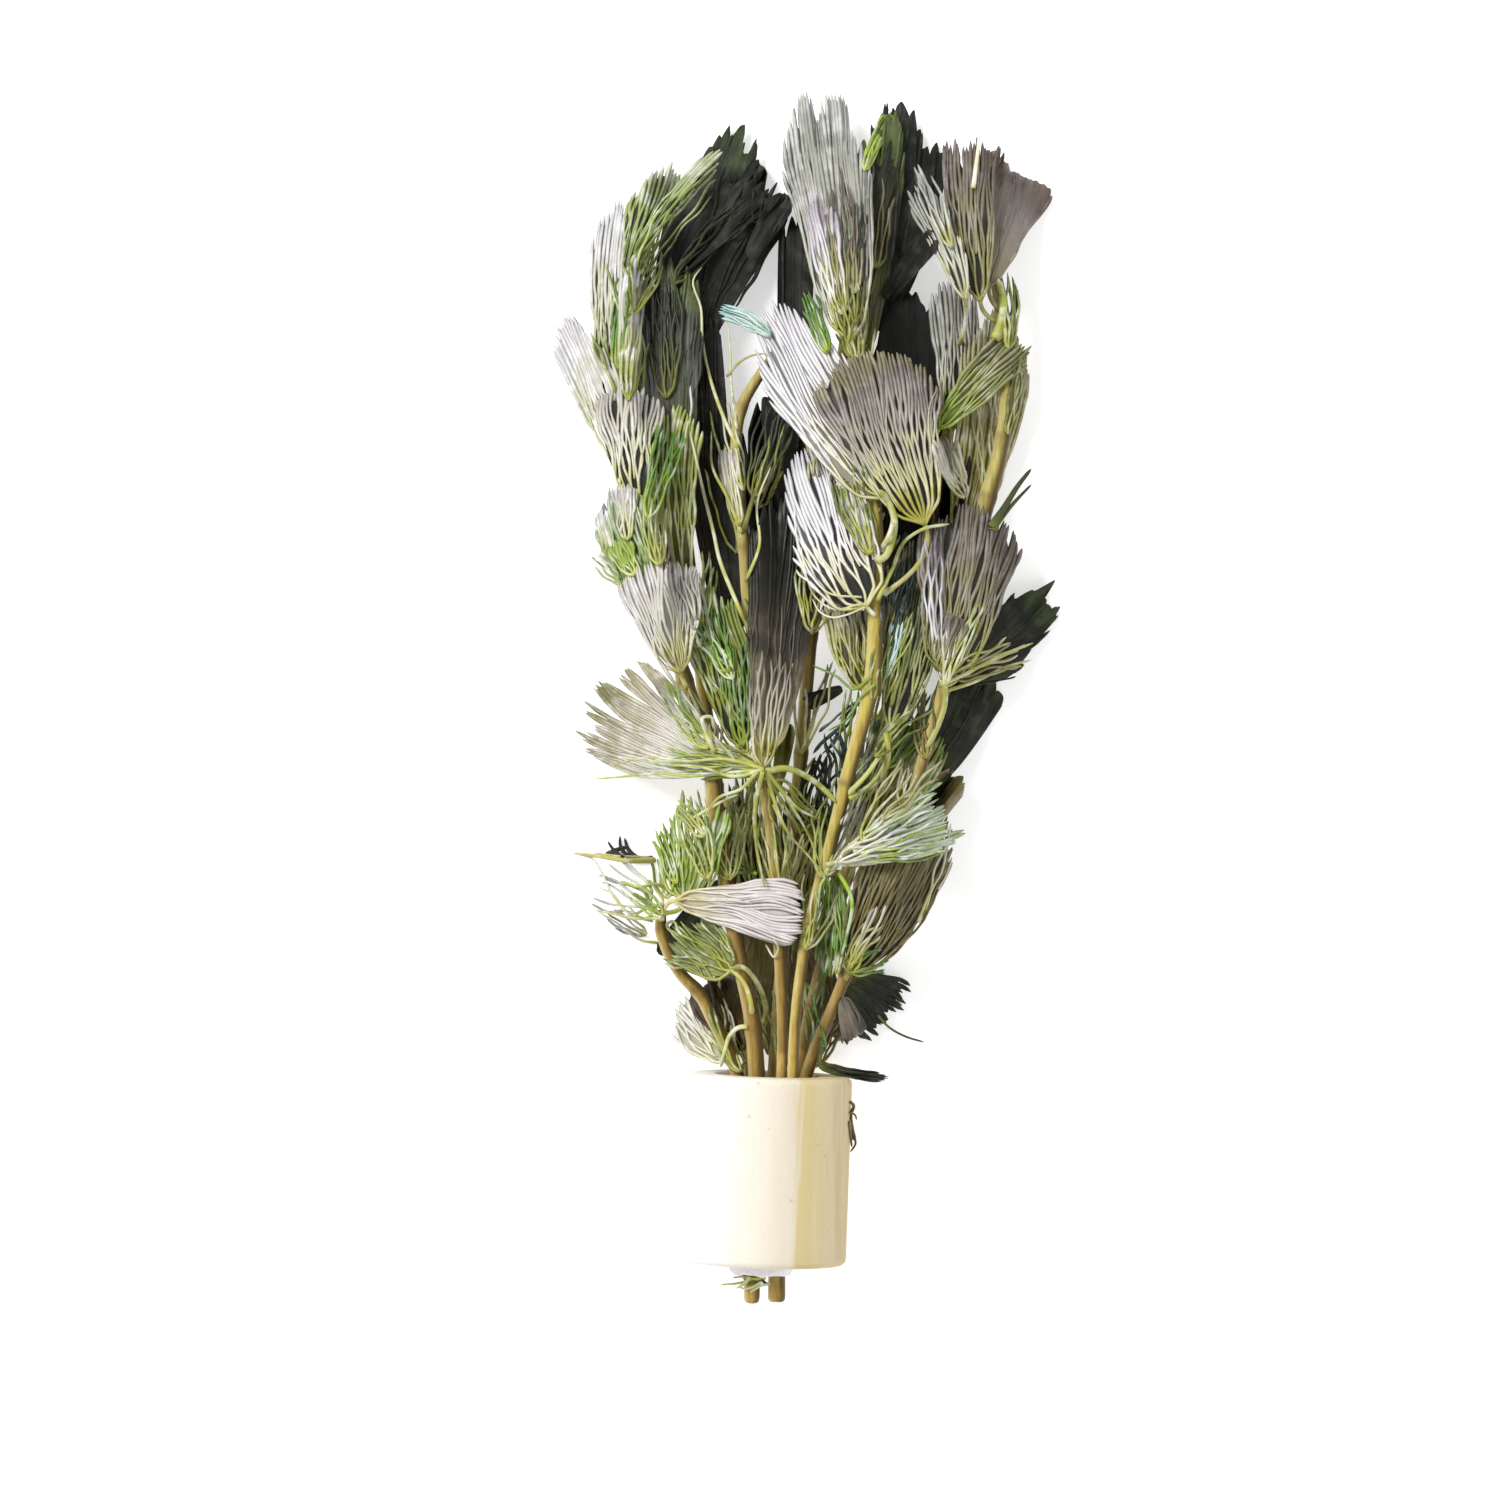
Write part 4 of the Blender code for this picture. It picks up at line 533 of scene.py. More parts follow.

# Tones of a leaf skin along a fan: its foot, the open net of strands, where they close to a sheet, the
# upper sheet and the tips. Then the painted shade tone of strands in shade, and the painted glare. The
# shares say how far strands fade to the painted shade, and how much of the painted glare is seen. The
# silver and white sheets of the silver, white and grey_silver skins are the wet film's glare, painted into
# the colour. The near-black tones of the black skins, and of brown_to_black beyond its net, are painted
# shade: green leaves that lie in shade low in the bunch.
LEAF_TONES = {
    "silver": ("#B5B263 #CFCFB0 #D9D6DA #BDB7BE #9C959D #21211B #F6F5F8", 0.5, 0.5),
    "white": ("#CFCA8C #EAE6CC #ECEAEA #E2E0E4 #C9C6CC #1E1F1A #FCFCFD", 0.35, 0.5),
    "grey_silver": ("#B2B160 #D2D2BC #ADADA4 #96978C #B9B9B4 #3A3B2E #EFEFEE", 0.6, 0.4),
    "streak": ("#8E9B45 #A7AF6C #BFC09F #D0CFCC #C9C6CA #1F241A #F8F8F8", 0.6, 0.6),
    "grey_green": ("#6E7A3A #82904C #9CA86A #A2AC7C #A6AE86 #23281A #F4F6EE", 0.6, 0.5),
    "green_white": ("#CBCE98 #C2CCA4 #C0CCA8 #C6D0B8 #7F9C48 #2C4420 #FAFCFA", 0.6, 0.6),
    "pale": ("#B9B95F #D2D29E #CFCDB6 #BBB6AE #A9A59C #202117 #F6F5F4", 0.5, 0.5),
    "lilac": ("#BDB564 #D6D4AA #D4D1C4 #C9C5BE #BFB9B4 #2A2922 #F6F3F4", 0.4, 0.6),
    "lilac_tan": ("#A9AC5E #CDD0B0 #D8D2C8 #B0A78C #7C7848 #4A4630 #F3F0EC", 0.6, 0.45),
    "mauve": ("#ADA650 #D6D5A0 #B2AB9C #857C76 #86804F #22211B #DED9DA", 0.5, 0.3),
    "mauve_grey": ("#9C9A50 #9C9860 #8B8468 #766D60 #6A6159 #2A2922 #CFCACB", 0.65, 0.3),
    "mauve_brown": ("#8F8A50 #8E876C #7C7266 #6D6159 #63564D #38322C #A89D96", 0.6, 0.3),
    "brown": ("#7F7547 #685E46 #584D3E #4E443A #463D34 #26231C #A49C88", 0.7, 0.3),
    "brown_olive": ("#9C9148 #857A44 #796C42 #6A6038 #7A7448 #2A2819 #C2C19A", 0.7, 0.3),
    "brown_to_black": ("#B0A868 #94876C #38342B #252720 #26281F #171713 #6E6A60", 0.7, 0.2),
    "olive_tan": ("#B4AF58 #B6B068 #B0AA6E #AAA478 #B4AF90 #4A4828 #ECEAD4", 0.6, 0.6),
    "yellow_olive": ("#ABA950 #B0AE60 #B2B076 #AEAB80 #B3B090 #3A3B22 #ECEBD4", 0.55, 0.6),
    "yellow_to_dark": ("#C4C874 #AEB470 #6D7247 #4B4E35 #3D3F2C #1E1F17 #D5D8B8", 0.65, 0.35),
    "yellow_on_black": ("#A6A85A #969A52 #888D4A #848849 #94965A #1E1F18 #DEE0B4", 0.6, 0.5),
    "yellow_green": ("#B8B65A #A8AC52 #8E974A #7A8640 #75843C #232B16 #EEF2D4", 0.6, 0.6),
    "olive": ("#7E7F3A #5E6136 #3E4134 #383B31 #55632F #20221B #85887A", 0.6, 0.2),
    "green": ("#93A23E #6F8F36 #54792C #466C28 #5F852F #1D3014 #D6E6D0", 0.65, 0.4),
    "bright": ("#C4C95A #AEBC52 #9AB052 #90A94C #9BB252 #33481C #F0F5EA", 0.6, 0.55),
    "pale_green": ("#B9B95E #B4B868 #A0A860 #98A05C #A3AC58 #343E1C #F2F4E0", 0.55, 0.6),
    "black": ("#44463A #33342E #2A2A28 #262625 #2C2D28 #141413 #5E5E56", 0.6, 0.4),
    "black_olive": ("#6F7638 #444A2E #2B2D27 #272925 #3A422B #171814 #62684E", 0.6, 0.3),
    "blue_black": ("#5E6C38 #42503A #2E3B36 #2A3633 #3C4C46 #121817 #B2C2BC", 0.65, 0.4),
    "fresh_green": ("#A9C148 #86A83C #6C9436 #5F8A36 #769E44 #23380F #E8F4E2", 0.6, 0.5),
    "brown_bark": ("#6E5C30 #554526 #453820 #3B301C #30281A #1C170F #8C7C58", 0.6, 0.3),
    "cream": ("#D0CE92 #DDDCB4 #DAD8C4 #D6D2C8 #CBC8BC #4A4A2C #FAF8F2", 0.4, 0.6),
    "bright_to_olive": ("#A9C14E #A2B654 #93955E #84825C #7C7F4E #2E3619 #DDE0C8", 0.6, 0.45),
    "ivory": ("#CFC27E #E4DCC2 #E4DDD8 #E0D9D8 #CFC6C4 #8C8468 #FBF9F7", 0.5, 0.4),
    "teal_green": ("#A8B83E #8AA244 #8FA35C #9CAE80 #CACFC8 #2C401A #EEF3EE", 0.65, 0.45),
    # Painted glint: the wet film's teal glare on dark strands, drawn as pale teal strands.
    "teal_glint": ("#A9C2B0 #B9D2C8 #C3DAD4 #B5D3CE #8FBDB4 #2E4A40 #F0F8F6", 0.5, 0.5),
    # Painted deep shade: a green leaf that lies in shade, drawn near black.
    "deep_shade": ("#30312B #282826 #232322 #222221 #262625 #111110 #3C3B38", 0.5, 0.3),
}
# Roughness and specular level of a wet leaf, and of the skins whose leaves lie in shade.
WET, DULL = (0.42, 0.35), (0.6, 0.15)
DULL_SKINS = ("black", "deep_shade", "black_olive")

# What is painted on a piece's points for its skin: the share along its fan, the strand's own tone, how
# deep it lies in painted shade or how near a joint, and how far across and along the leaf it is; on a
# stem, side says where round it a point lies, for its painted shade and highlight.
PAINTED = ("along", "strand", "under", "side", "run")

# How far a place may be from the solid's corners that it takes its height from. A place with none would
# take half of FAR - FAR, the surface's height.
CORNER_REACH = 0.06
FAR = 1e9
# How many faces are passed over on the way down to a sprig's place, and the step past each.
MOST_FACES = 12
STEP_PAST = 0.01
# What lies on the leaves falls no faster than this outwards, and rises no faster than this, for each
# millimetre along it, as a stiff strand does.
STEEPEST_FALL, STEEPEST_RISE = 0.6, 0.9
# How high a sprig's middle surface lies over what is below it.
SPRIG_LIFT = 0.55


def set_in_row(points):
    """Points in the ring's millimetres as metres in the row's frame."""
    return np.asarray(points, float) * MM + FRAME_ORIGIN


def node_points(node):
    """A solid's corners in the ring's millimetres."""
    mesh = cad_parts[node].data
    corners = np.empty(3 * len(mesh.vertices), np.float32)
    mesh.vertices.foreach_get("co", corners)
    return (corners.reshape(-1, 3).astype(float) - FRAME_ORIGIN) / MM


def on_stem(name, along):
    """The place (x, y) on a stem's middle line, a distance along the bunch."""
    points = np.array(STEMS[name], float)
    return np.array([np.interp(along, points[:, 1], points[:, k]) for k in (0, 1)])


def through(points, rows):
    """A smooth line of the given number of rows through a few points: cubic pieces whose slope at each
    point is the mean slope of its neighbours."""
    points = np.asarray(points, float)
    way = np.concatenate([[0.0], np.cumsum(np.linalg.norm(np.diff(points[:, :2], axis=0), axis=1))])
    slope = np.gradient(points, way, axis=0)
    at = np.linspace(0, way[-1], rows)
    piece = np.clip(np.searchsorted(way, at, side="right") - 1, 0, len(way) - 2)
    length = (way[piece + 1] - way[piece])[:, None]
    t = (at - way[piece])[:, None] / length
    return (
        (2 * t**3 - 3 * t**2 + 1) * points[piece]
        + (t**3 - 2 * t**2 + t) * length * slope[piece]
        + (3 * t**2 - 2 * t**3) * points[piece + 1]
        + (t**3 - t**2) * length * slope[piece + 1]
    )


class Surface:
    """The middle surface of a fan and its stalk. The stalk runs from its root (along = -1) to the fan's
    foot (0), and the fan to its tip (1), from its left edge (across = -1) to its right (1). Leaf and Sprig
    add the rows of heights, the root, and the point towards which the stalk bends."""

    def __init__(self, foot, bend, tip, width, rim_drop=RIM_DROP, opening=OPENING):
        self.foot, self.bend, self.tip = (np.array(p, float) for p in (foot, bend, tip))
        self.ahead = (self.bend - self.foot) / np.linalg.norm(self.bend - self.foot)
        self.length = np.linalg.norm(self.tip - self.foot)
        self.width, self.rim_drop, self.opening = width, rim_drop, opening
        self.rim = [(-1, 1.0), (1, 1.0)]

    def middle(self, share):
        """The middle line: two quadratic curves that meet at the foot."""
        t = 1 + np.minimum(share, 0)[..., None]
        stalk = (1 - t) ** 2 * self.root + 2 * t * (1 - t) * self.stalk_bend + t**2 * self.foot
        t = np.maximum(share, 0)[..., None]
        spine = (1 - t) ** 2 * self.foot + 2 * t * (1 - t) * self.bend + t**2 * self.tip
        return np.where((share < 0)[..., None], stalk, spine)

    def over(self, along, across):
        """The place (x, y) seen from above: off the middle line by across half widths, square to it.
        Towards its sides the fan falls back by rim_drop times across squared at the rim, and by less
        nearer the foot."""
        fan = np.clip(along, 0, None)
        share = np.where(along < 0, along, fan * (1 - self.rim_drop * across**2 * fan))
        step = 0.02
        further = np.where(share < 0, share + step, np.clip(share + step, None, np.maximum(share, 1)))
        nearer = np.where(share <= 0, np.maximum(share - step, -1), share - step)
        direction = self.middle(further) - self.middle(nearer)
        direction /= np.linalg.norm(direction, axis=-1)[..., None]
        sideways = np.stack([direction[..., 1], -direction[..., 0]], axis=-1)
        return self.middle(share) + sideways * (across * self.half_width(along))[..., None]

    def half_width(self, along):
        """Half the stalk's width, and from the foot on more by a power of the share along the fan."""
        return STALK_WIDTH / 2 + (self.width - STALK_WIDTH) / 2 * np.clip(along, 0, 1) ** self.opening

    def rim_at(self, across):
        """How far along the fan its rim is."""
        return np.interp(across, *np.transpose(self.rim))

    def height(self, along, across):
        """The surface's height, blended between its rows of known heights."""
        rows = np.stack([np.interp(across, u, z) for u, z in self.heights])
        place = np.interp(along, self.ROWS, np.arange(len(self.ROWS)))
        low = np.minimum(place.astype(int), len(self.ROWS) - 2)
        share = place - low
        under = np.take_along_axis(rows, low[None], axis=0)[0]
        over = np.take_along_axis(rows, low[None] + 1, axis=0)[0]
        return under * (1 - share) + over * share

    def at(self, along, across):
        """The place (x, y, z) on the surface."""
        return np.concatenate([self.over(along, across), self.height(along, across)[..., None]], axis=-1)


class Leaf(Surface):
    """A leaf with a solid, which it takes its heights from: midway between the solid's corners."""

    ROWS = (-1.0, -0.62, -0.28, 0.0, 0.26, 0.52, 0.78, 1.0)

    def __init__(self, name, stem, leaves_at, *layout):
        super().__init__(*layout, ROUNDER.get(name, RIM_DROP), OPENS.get(name, OPENING))
        self.root = on_stem(stem, leaves_at)
        self.stalk_bend = self.foot - self.ahead * STALK_BEND * np.linalg.norm(self.foot - self.root)
        fingers = int(min(MOST_FINGERS, max(FEWEST_FINGERS, round(self.width / FINGER_WIDTH))))
        counts = (2, 2, 2, 2, max(2, fingers // 2 + 1), fingers, fingers + 1, 2 * fingers + 1)
        corners = node_points("leaf_" + name)
        self.heights = []
        for row, count in zip(self.ROWS, counts):
            across = np.linspace(-1, 1, count)
            along = np.full(count, row)
            if row == 1.0:
                along[::2] -= FINGER_NOTCH
            flat = self.over(along, across)
            close = np.linalg.norm(flat[:, None, :] - corners[None, :, :2], axis=2) < CORNER_REACH
            top = np.where(close, corners[None, :, 2], -FAR).max(axis=1)
            low = np.where(close, corners[None, :, 2], FAR).min(axis=1)
            self.heights.append((across, (top + low) / 2))
        for key, value in SHOWN.get(name, {}).items():
            setattr(self, key, np.array(value, float))


class Sprig(Surface):
    """A small leaf with no solid of its own, which lies on what is below it."""

    ROWS = (0.0, 0.2, 0.4, 0.6, 0.8, 1.0)

    def __init__(self, foot, bend, tip, width, ceiling):
        super().__init__(foot, bend, tip, width)
        self.root = self.foot - self.ahead
        self.stalk_bend = self.foot - 0.5 * self.ahead
        across, along = np.meshgrid(np.linspace(-1, 1, 5), self.ROWS)
        self.heights = list(zip(across, lie_on(self.over(along, across), ceiling, SPRIG_LIFT)))


def solids_tree():
    """All solids as one tree of triangles, in the ring's millimetres, to find what lies below a point."""
    corners, faces, count = [], [], 0
    for node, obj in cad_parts.items():
        mesh = obj.data
        loops = np.empty(len(mesh.loops), np.int32)
        mesh.loops.foreach_get("vertex_index", loops)
        corners.append(node_points(node))
        faces.append(loops.reshape(-1, 3) + count)
        count += len(mesh.vertices)
    return BVHTree.FromPolygons(np.concatenate(corners).tolist(), np.concatenate(faces).tolist())


TREE = solids_tree()


def top_below(x, y, ceiling):
    """The highest upper face of a solid at (x, y) that is below the ceiling, or else the surface."""
    height = ceiling
    for _ in range(MOST_FACES):
        hit, normal, _, _ = TREE.ray_cast((x, y, height), (0.0, 0.0, -1.0))
        if hit is None:
            return 0.0
        if normal.z > 0:
            return hit.z
        height = hit.z - STEP_PAST
    return 0.0


def lie_on(flat, ceiling, lift):
    """Heights of rows of places (rows, ..., 2) that lie on the leaves, which change along the rows no
    faster than the steepest fall and rise let them."""
    tops = [top_below(x, y, ceiling) for x, y in flat.reshape(-1, 2)]
    heights = np.reshape(tops, flat.shape[:-1]) + lift
    way = np.linalg.norm(np.diff(flat, axis=0), axis=-1)
    for k in range(1, len(heights)):
        heights[k] = np.maximum(heights[k], heights[k - 1] - STEEPEST_FALL * way[k - 1])
    for k in range(len(heights) - 2, -1, -1):
        heights[k] = np.maximum(heights[k], heights[k + 1] - STEEPEST_RISE * way[k])
    return heights


class Heap:
    """What one piece is made of: points, faces and the values painted on its points."""

    def __init__(self):
        self.points, self.loops, self.sizes = [], [], []
        self.paint = {key: [] for key in PAINTED}
        self.count = 0

    def add(self, points, faces, **paint):
        """Takes in points (n, 3) and a list of face arrays (faces, corners)."""
        for face in faces:
            self.loops.append((face + self.count).ravel())
            self.sizes.append(np.full(len(face), face.shape[1]))
        for key, values in self.paint.items():
            values.append(np.broadcast_to(np.asarray(paint.get(key, 0.0), float), (len(points),)))
        self.points.append(points)
        self.count += len(points)

    def lines(self, centre, width, thick, sides, **paint):
        """Flat tubes along lines. centre is (lines, rows, 3), width and thick are (lines, rows).

        The corners of each row lie on an ellipse across the line's direction, its wide way level."""
        lines, rows = centre.shape[:2]
        direction = np.gradient(centre, axis=1)
        direction /= np.maximum(np.linalg.norm(direction, axis=2), 1e-9)[..., None]
        side = np.cross(direction, (0.0, 0.0, 1.0))
        side /= np.maximum(np.linalg.norm(side, axis=2), 1e-9)[..., None]
        upward = np.cross(side, direction)
        angle = 2 * np.pi * np.arange(sides) / sides
        reach = (
            np.cos(angle)[:, None] * (side * width[..., None] / 2)[:, :, None, :]
            + np.sin(angle)[:, None] * (upward * thick[..., None] / 2)[:, :, None, :]
        )
        points = (centre[:, :, None, :] + reach).reshape(-1, 3)
        index = np.arange(lines * rows * sides).reshape(lines, rows, sides)
        here = index[:, :-1]
        beside = np.roll(here, -1, axis=2)
        walls = np.stack([here, here + sides, beside + sides, beside], axis=-1).reshape(-1, 4)
        for key, value in paint.items():
            value = np.asarray(value, float)
            value = value.reshape(value.shape + (1,) * (3 - value.ndim))
            paint[key] = np.broadcast_to(value, index.shape).ravel()
        self.add(points, [walls, index[:, 0], index[:, -1, ::-1]], **paint)

    def piece(self, name, skin, slot, replaces=None):
        """Makes the mesh object, gives it its skin, and ties it to the frame."""
        mesh = bpy.data.meshes.new(name)
        points = set_in_row(np.concatenate(self.points)).astype(np.float32)
        points[:, 2] = np.maximum(points[:, 2], 0.0)
        loops = np.concatenate(self.loops).astype(np.int32)
        sizes = np.concatenate(self.sizes).astype(np.int32)
        mesh.vertices.add(len(points))
        mesh.vertices.foreach_set("co", points.ravel())
        mesh.loops.add(len(loops))
        mesh.loops.foreach_set("vertex_index", loops)
        mesh.polygons.add(len(sizes))
        mesh.polygons.foreach_set("loop_start", (np.cumsum(sizes) - sizes).astype(np.int32))
        mesh.update(calc_edges=True)
        mesh.validate()
        mesh.shade_smooth()
        for key, values in self.paint.items():
            layer = mesh.attributes.new(key, "FLOAT", "POINT")
            layer.data.foreach_set("value", np.concatenate(values).astype(np.float32))
        mesh.materials.append(skin)
        obj = bpy.data.objects.new(name, mesh)
        bpy.context.scene.collection.objects.link(obj)
        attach(obj, "root")
        if replaces:
            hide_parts(replaces)


def linear(hex_colour):
    """The linear red, green, blue and alpha of an sRGB colour such as #EADFC8."""
    shares = [int(hex_colour[i : i + 2], 16) / 255 for i in (1, 3, 5)]
    return [s / 12.92 if s <= 0.04045 else ((s + 0.055) / 1.055) ** 2.4 for s in shares] + [1.0]


def add(tree, kind, inputs=(), stops=(), output=None, **settings):
    """Adds a node and gives its output, the first one or the one named. Its inputs are values or other
    nodes' outputs in the order of its sockets, where None leaves a socket as it is."""
    node = tree.nodes.new("ShaderNode" + kind)
    for key, value in settings.items():
        setattr(node, key, value)
    for socket, value in zip([s for s in node.inputs if s.enabled], inputs):
        if isinstance(value, bpy.types.NodeSocket):
            tree.links.new(value, socket)
        elif value is not None:
            socket.default_value = value
    for k, (place, tone) in enumerate([*stops[:1], *stops[-1:], *stops[1:-1]]):
        ramp = node.color_ramp.elements
        stop = ramp[k] if k < 2 else ramp.new(place)
        stop.position = place
        stop.color = linear(tone)
    return node.outputs[output] if output else next(s for s in node.outputs if s.enabled)


def new_material(name):
    """A material, its node tree, and the place on the object that its patterns read."""
    material = bpy.data.materials.new(name)
    material.use_nodes = True
    return material, material.node_tree, add(material.node_tree, "TexCoord", output="Object")


def dress(tree, colour, gloss, relief=None, strength=0.0, depth=0.0):
    """Joins a colour to a material's shader, sets its gloss, which is its roughness and specular level,
    and where a relief is given, joins that as a bump of some strength and depth (mm)."""
    shader = tree.nodes["Principled BSDF"]
    tree.links.new(colour, shader.inputs["Base Color"])
    if relief:
        tree.links.new(add(tree, "Bump", [strength, depth * MM, None, relief]), shader.inputs["Normal"])
    shader.inputs["Roughness"].default_value, shader.inputs["Specular IOR Level"].default_value = gloss
    return shader


@cache
def leaf_skin(tone):
    """Fresh water-plant leaf: soft tissue that grew in thin forked strands, wet and just lifted out of
    water. The strands fade from a yellow-green foot, the wet film's glare is painted on in pale patches,
    and painted shade darkens strands that lie lower."""
    colours, contrast, glare_share = LEAF_TONES[tone]
    foot, net, sheet, upper, tip, shade, glare = colours.split()
    material, tree, place = new_material("wet_cabomba_leaf_" + tone)
    along, strand, under, side, run = (
        add(tree, "Attribute", output="Fac", attribute_name=key) for key in PAINTED
    )
    # Patches of tone are about 6 mm across.
    patches = add(tree, "TexNoise", [place, 1 / (6 * MM), 3.0])
    shift = add(tree, "MapRange", [patches, 0.3, 0.7, -0.14, 0.14])
    moved = add(tree, "Math", [along, shift], operation="ADD")
    stops = [(0.04, foot), (0.2, net), (0.5, sheet), (0.78, upper), (0.97, tip)]
    tones = add(tree, "ValToRGB", [moved], stops)
    # Cells run along the strands in rows 0.3 mm wide and about 3 mm long.
    stretched = add(tree, "Math", [run, 0.1], operation="MULTIPLY")
    grain = add(tree, "CombineXYZ", [side, stretched, strand])
    cells = add(tree, "TexNoise", [grain, 3.3, 2.0])
    mixed = add(tree, "Math", [cells, 1.3, strand], operation="MULTIPLY_ADD")
    darker = add(tree, "MapRange", [mixed, 1.15, 0.5, 0.0, contrast])
    # Painted glare: the wet film's highlight is painted on in pale patches of about 3 mm, on the higher
    # strands.
    film = add(tree, "TexNoise", [place, 1 / (3 * MM), 2.0])
    seen = add(tree, "MapRange", [film, 0.47, 0.66, 0.0, glare_share])
    high = add(tree, "MapRange", [mixed, 0.8, 1.4])
    lit = add(tree, "Math", [seen, high], operation="MULTIPLY")
    # Painted shade by the strands' tone, then painted glare, then painted shade by how deep a piece lies.
    for share, colour in ((darker, shade), (lit, glare), (under, shade)):
        tones = add(tree, "Mix", [share, tones, linear(colour)], data_type="RGBA")
    # Leaf cells are too fine to show, so the wet film's ripple is drawn at 0.4 mm.
    ripple = add(tree, "TexNoise", [place, 1 / (0.4 * MM), 2.0])
    dress(tree, tones, DULL if tone in DULL_SKINS else WET, ripple, strength=0.25, depth=0.05)
    return material


def stem_skin(name, lower, upper, pale):
    """Fresh water-plant stem: a smooth round stalk, tan where it is old and yellow-green above, with
    fine ridges along it, brown rings at its joints and a wet gloss. Painted shade darkens its right
    flank, and a painted highlight in its pale tone lightens its left."""
    material, tree, place = new_material("wet_cabomba_stem_" + name)
    along, joint, side = (
        add(tree, "Attribute", output="Fac", attribute_name=key) for key in ("along", "under", "side")
    )
    # Streaks are about 0.5 mm wide and 4 mm long.
    stretched = add(tree, "Mapping", [place, None, None, (1.0, 0.12, 1.0)])
    streaks = add(tree, "TexNoise", [stretched, 1 / (0.5 * MM), 3.0])
    # Blotches are about 7 mm.
    blotches = add(tree, "TexNoise", [place, 1 / (7 * MM), 2.0])
    shift = add(tree, "MapRange", [blotches, 0.3, 0.7, -0.2, 0.2])
    moved = add(tree, "Math", [along, shift], operation="ADD")
    tones = add(tree, "ValToRGB", [moved], [(0.04, "#C6A550"), (0.2, lower), (0.75, upper)])
    streaked = add(tree, "MapRange", [streaks, 0.35, 0.65, 0.0, 0.5])
    # Painted shade browns the stem's right flank, and a painted highlight pales its left one, broken up by
    # the blotches.
    wavy = add(tree, "Math", [blotches, 0.8, side], operation="MULTIPLY_ADD")
    painted_shade = add(tree, "MapRange", [wavy, 0.4, 1.0, 0.0, 0.9])
    painted_highlight = add(tree, "MapRange", [wavy, 0.1, -0.5, 0.0, 0.6])
    for share, colour in ((streaked, "#6E5426"), (painted_shade, "#54401A"), (painted_highlight, pale), (joint, "#4E3018")):
        tones = add(tree, "Mix", [share, tones, linear(colour)], data_type="RGBA")
    dress(tree, tones, (0.45, 0.3), streaks, strength=0.4, depth=0.1)
    return material


def bisque_skin():
    """Bisque ceramic: cream clay fired once and left unglazed, cut and wiped smooth by hand. It is matt,
    with a fine grain, small pits and faint strokes along the ring. Painted shade makes it warmer and
    darker towards its right flank, with a yellowish band."""
    material, tree, place = new_material("unglazed_bisque_clay")
    # Painted shade across x: near white on the left flank, warm tan on the right, a yellowish band between.
    x = add(tree, "SeparateXYZ", [place])
    left, right = (FRAME_ORIGIN[0] + side * RING_RADIUS * MM for side in (-1, 1))
    across = add(tree, "MapRange", [x, left, right])
    # Strokes of the wiping tool are about 1.5 mm wide.
    stretched = add(tree, "Mapping", [place, None, None, (1.0, 0.08, 1.0)])
    strokes = add(tree, "TexNoise", [stretched, 1 / (1.5 * MM), 4.0])
    wander = add(tree, "MapRange", [strokes, 0.3, 0.7, -0.05, 0.05])
    moved = add(tree, "Math", [across, wander], operation="ADD")
    stops = [
        (0.1, "#F7F5F0"), (0.4, "#F0E8DA"), (0.66, "#E6DBC6"), (0.72, "#D9C791"), (0.8, "#DBCB9C"),
        (0.88, "#E0D0AB"), (1.0, "#C9B78F"),
    ]
    tones = add(tree, "ValToRGB", [moved], stops)
    # The clay's grit is about 0.3 mm.
    grit = add(tree, "TexNoise", [place, 1 / (0.3 * MM), 3.0])
    speckle = add(tree, "MapRange", [grit, 0.62, 0.75, 0.0, 0.35])
    # Pits of about 0.8 mm lie apart from each other, and are darker.
    dents = add(tree, "TexVoronoi", [place, 1 / (3.5 * MM)])
    pits = add(tree, "MapRange", [dents, 0.12, 0.04, 0.0, 0.6])
    for share, colour in ((speckle, "#B79C6C"), (pits, "#C8B68E")):
        tones = add(tree, "Mix", [share, tones, linear(colour)], data_type="RGBA")
    rough = add(tree, "Math", [grit, strokes], operation="ADD")
    relief = add(tree, "Math", [rough, pits], operation="SUBTRACT")
    dress(tree, tones, (0.85, 0.3), relief, strength=0.35, depth=0.12)
    return material


def foam_skin():
    """Open-cell foam: white plastic sponge, cut and pressed in. It is dull, with cells of about half a
    millimetre, drawn at 0.7 mm so that they show."""
    material, tree, place = new_material("open_cell_foam")
    cells = add(tree, "TexVoronoi", [place, 1 / (0.7 * MM)])
    tones = add(tree, "ValToRGB", [cells], [(0.1, "#E9E5EB"), (0.5, "#F8F6F8")])
    dress(tree, tones, (0.95, 0.5), cells, strength=0.35, depth=0.2)
    return material


def smooth(value, low, high):
    """0 below low, 1 above high, and 3t^2 - 2t^3 between them."""
    t = np.clip((value - low) / (high - low), 0, 1)
    return t * t * (3 - 2 * t)


def mean_of_group(group, values):
    """For each strand, the mean of the values of its group."""
    return (np.bincount(group, values) / np.maximum(np.bincount(group), 1))[group]


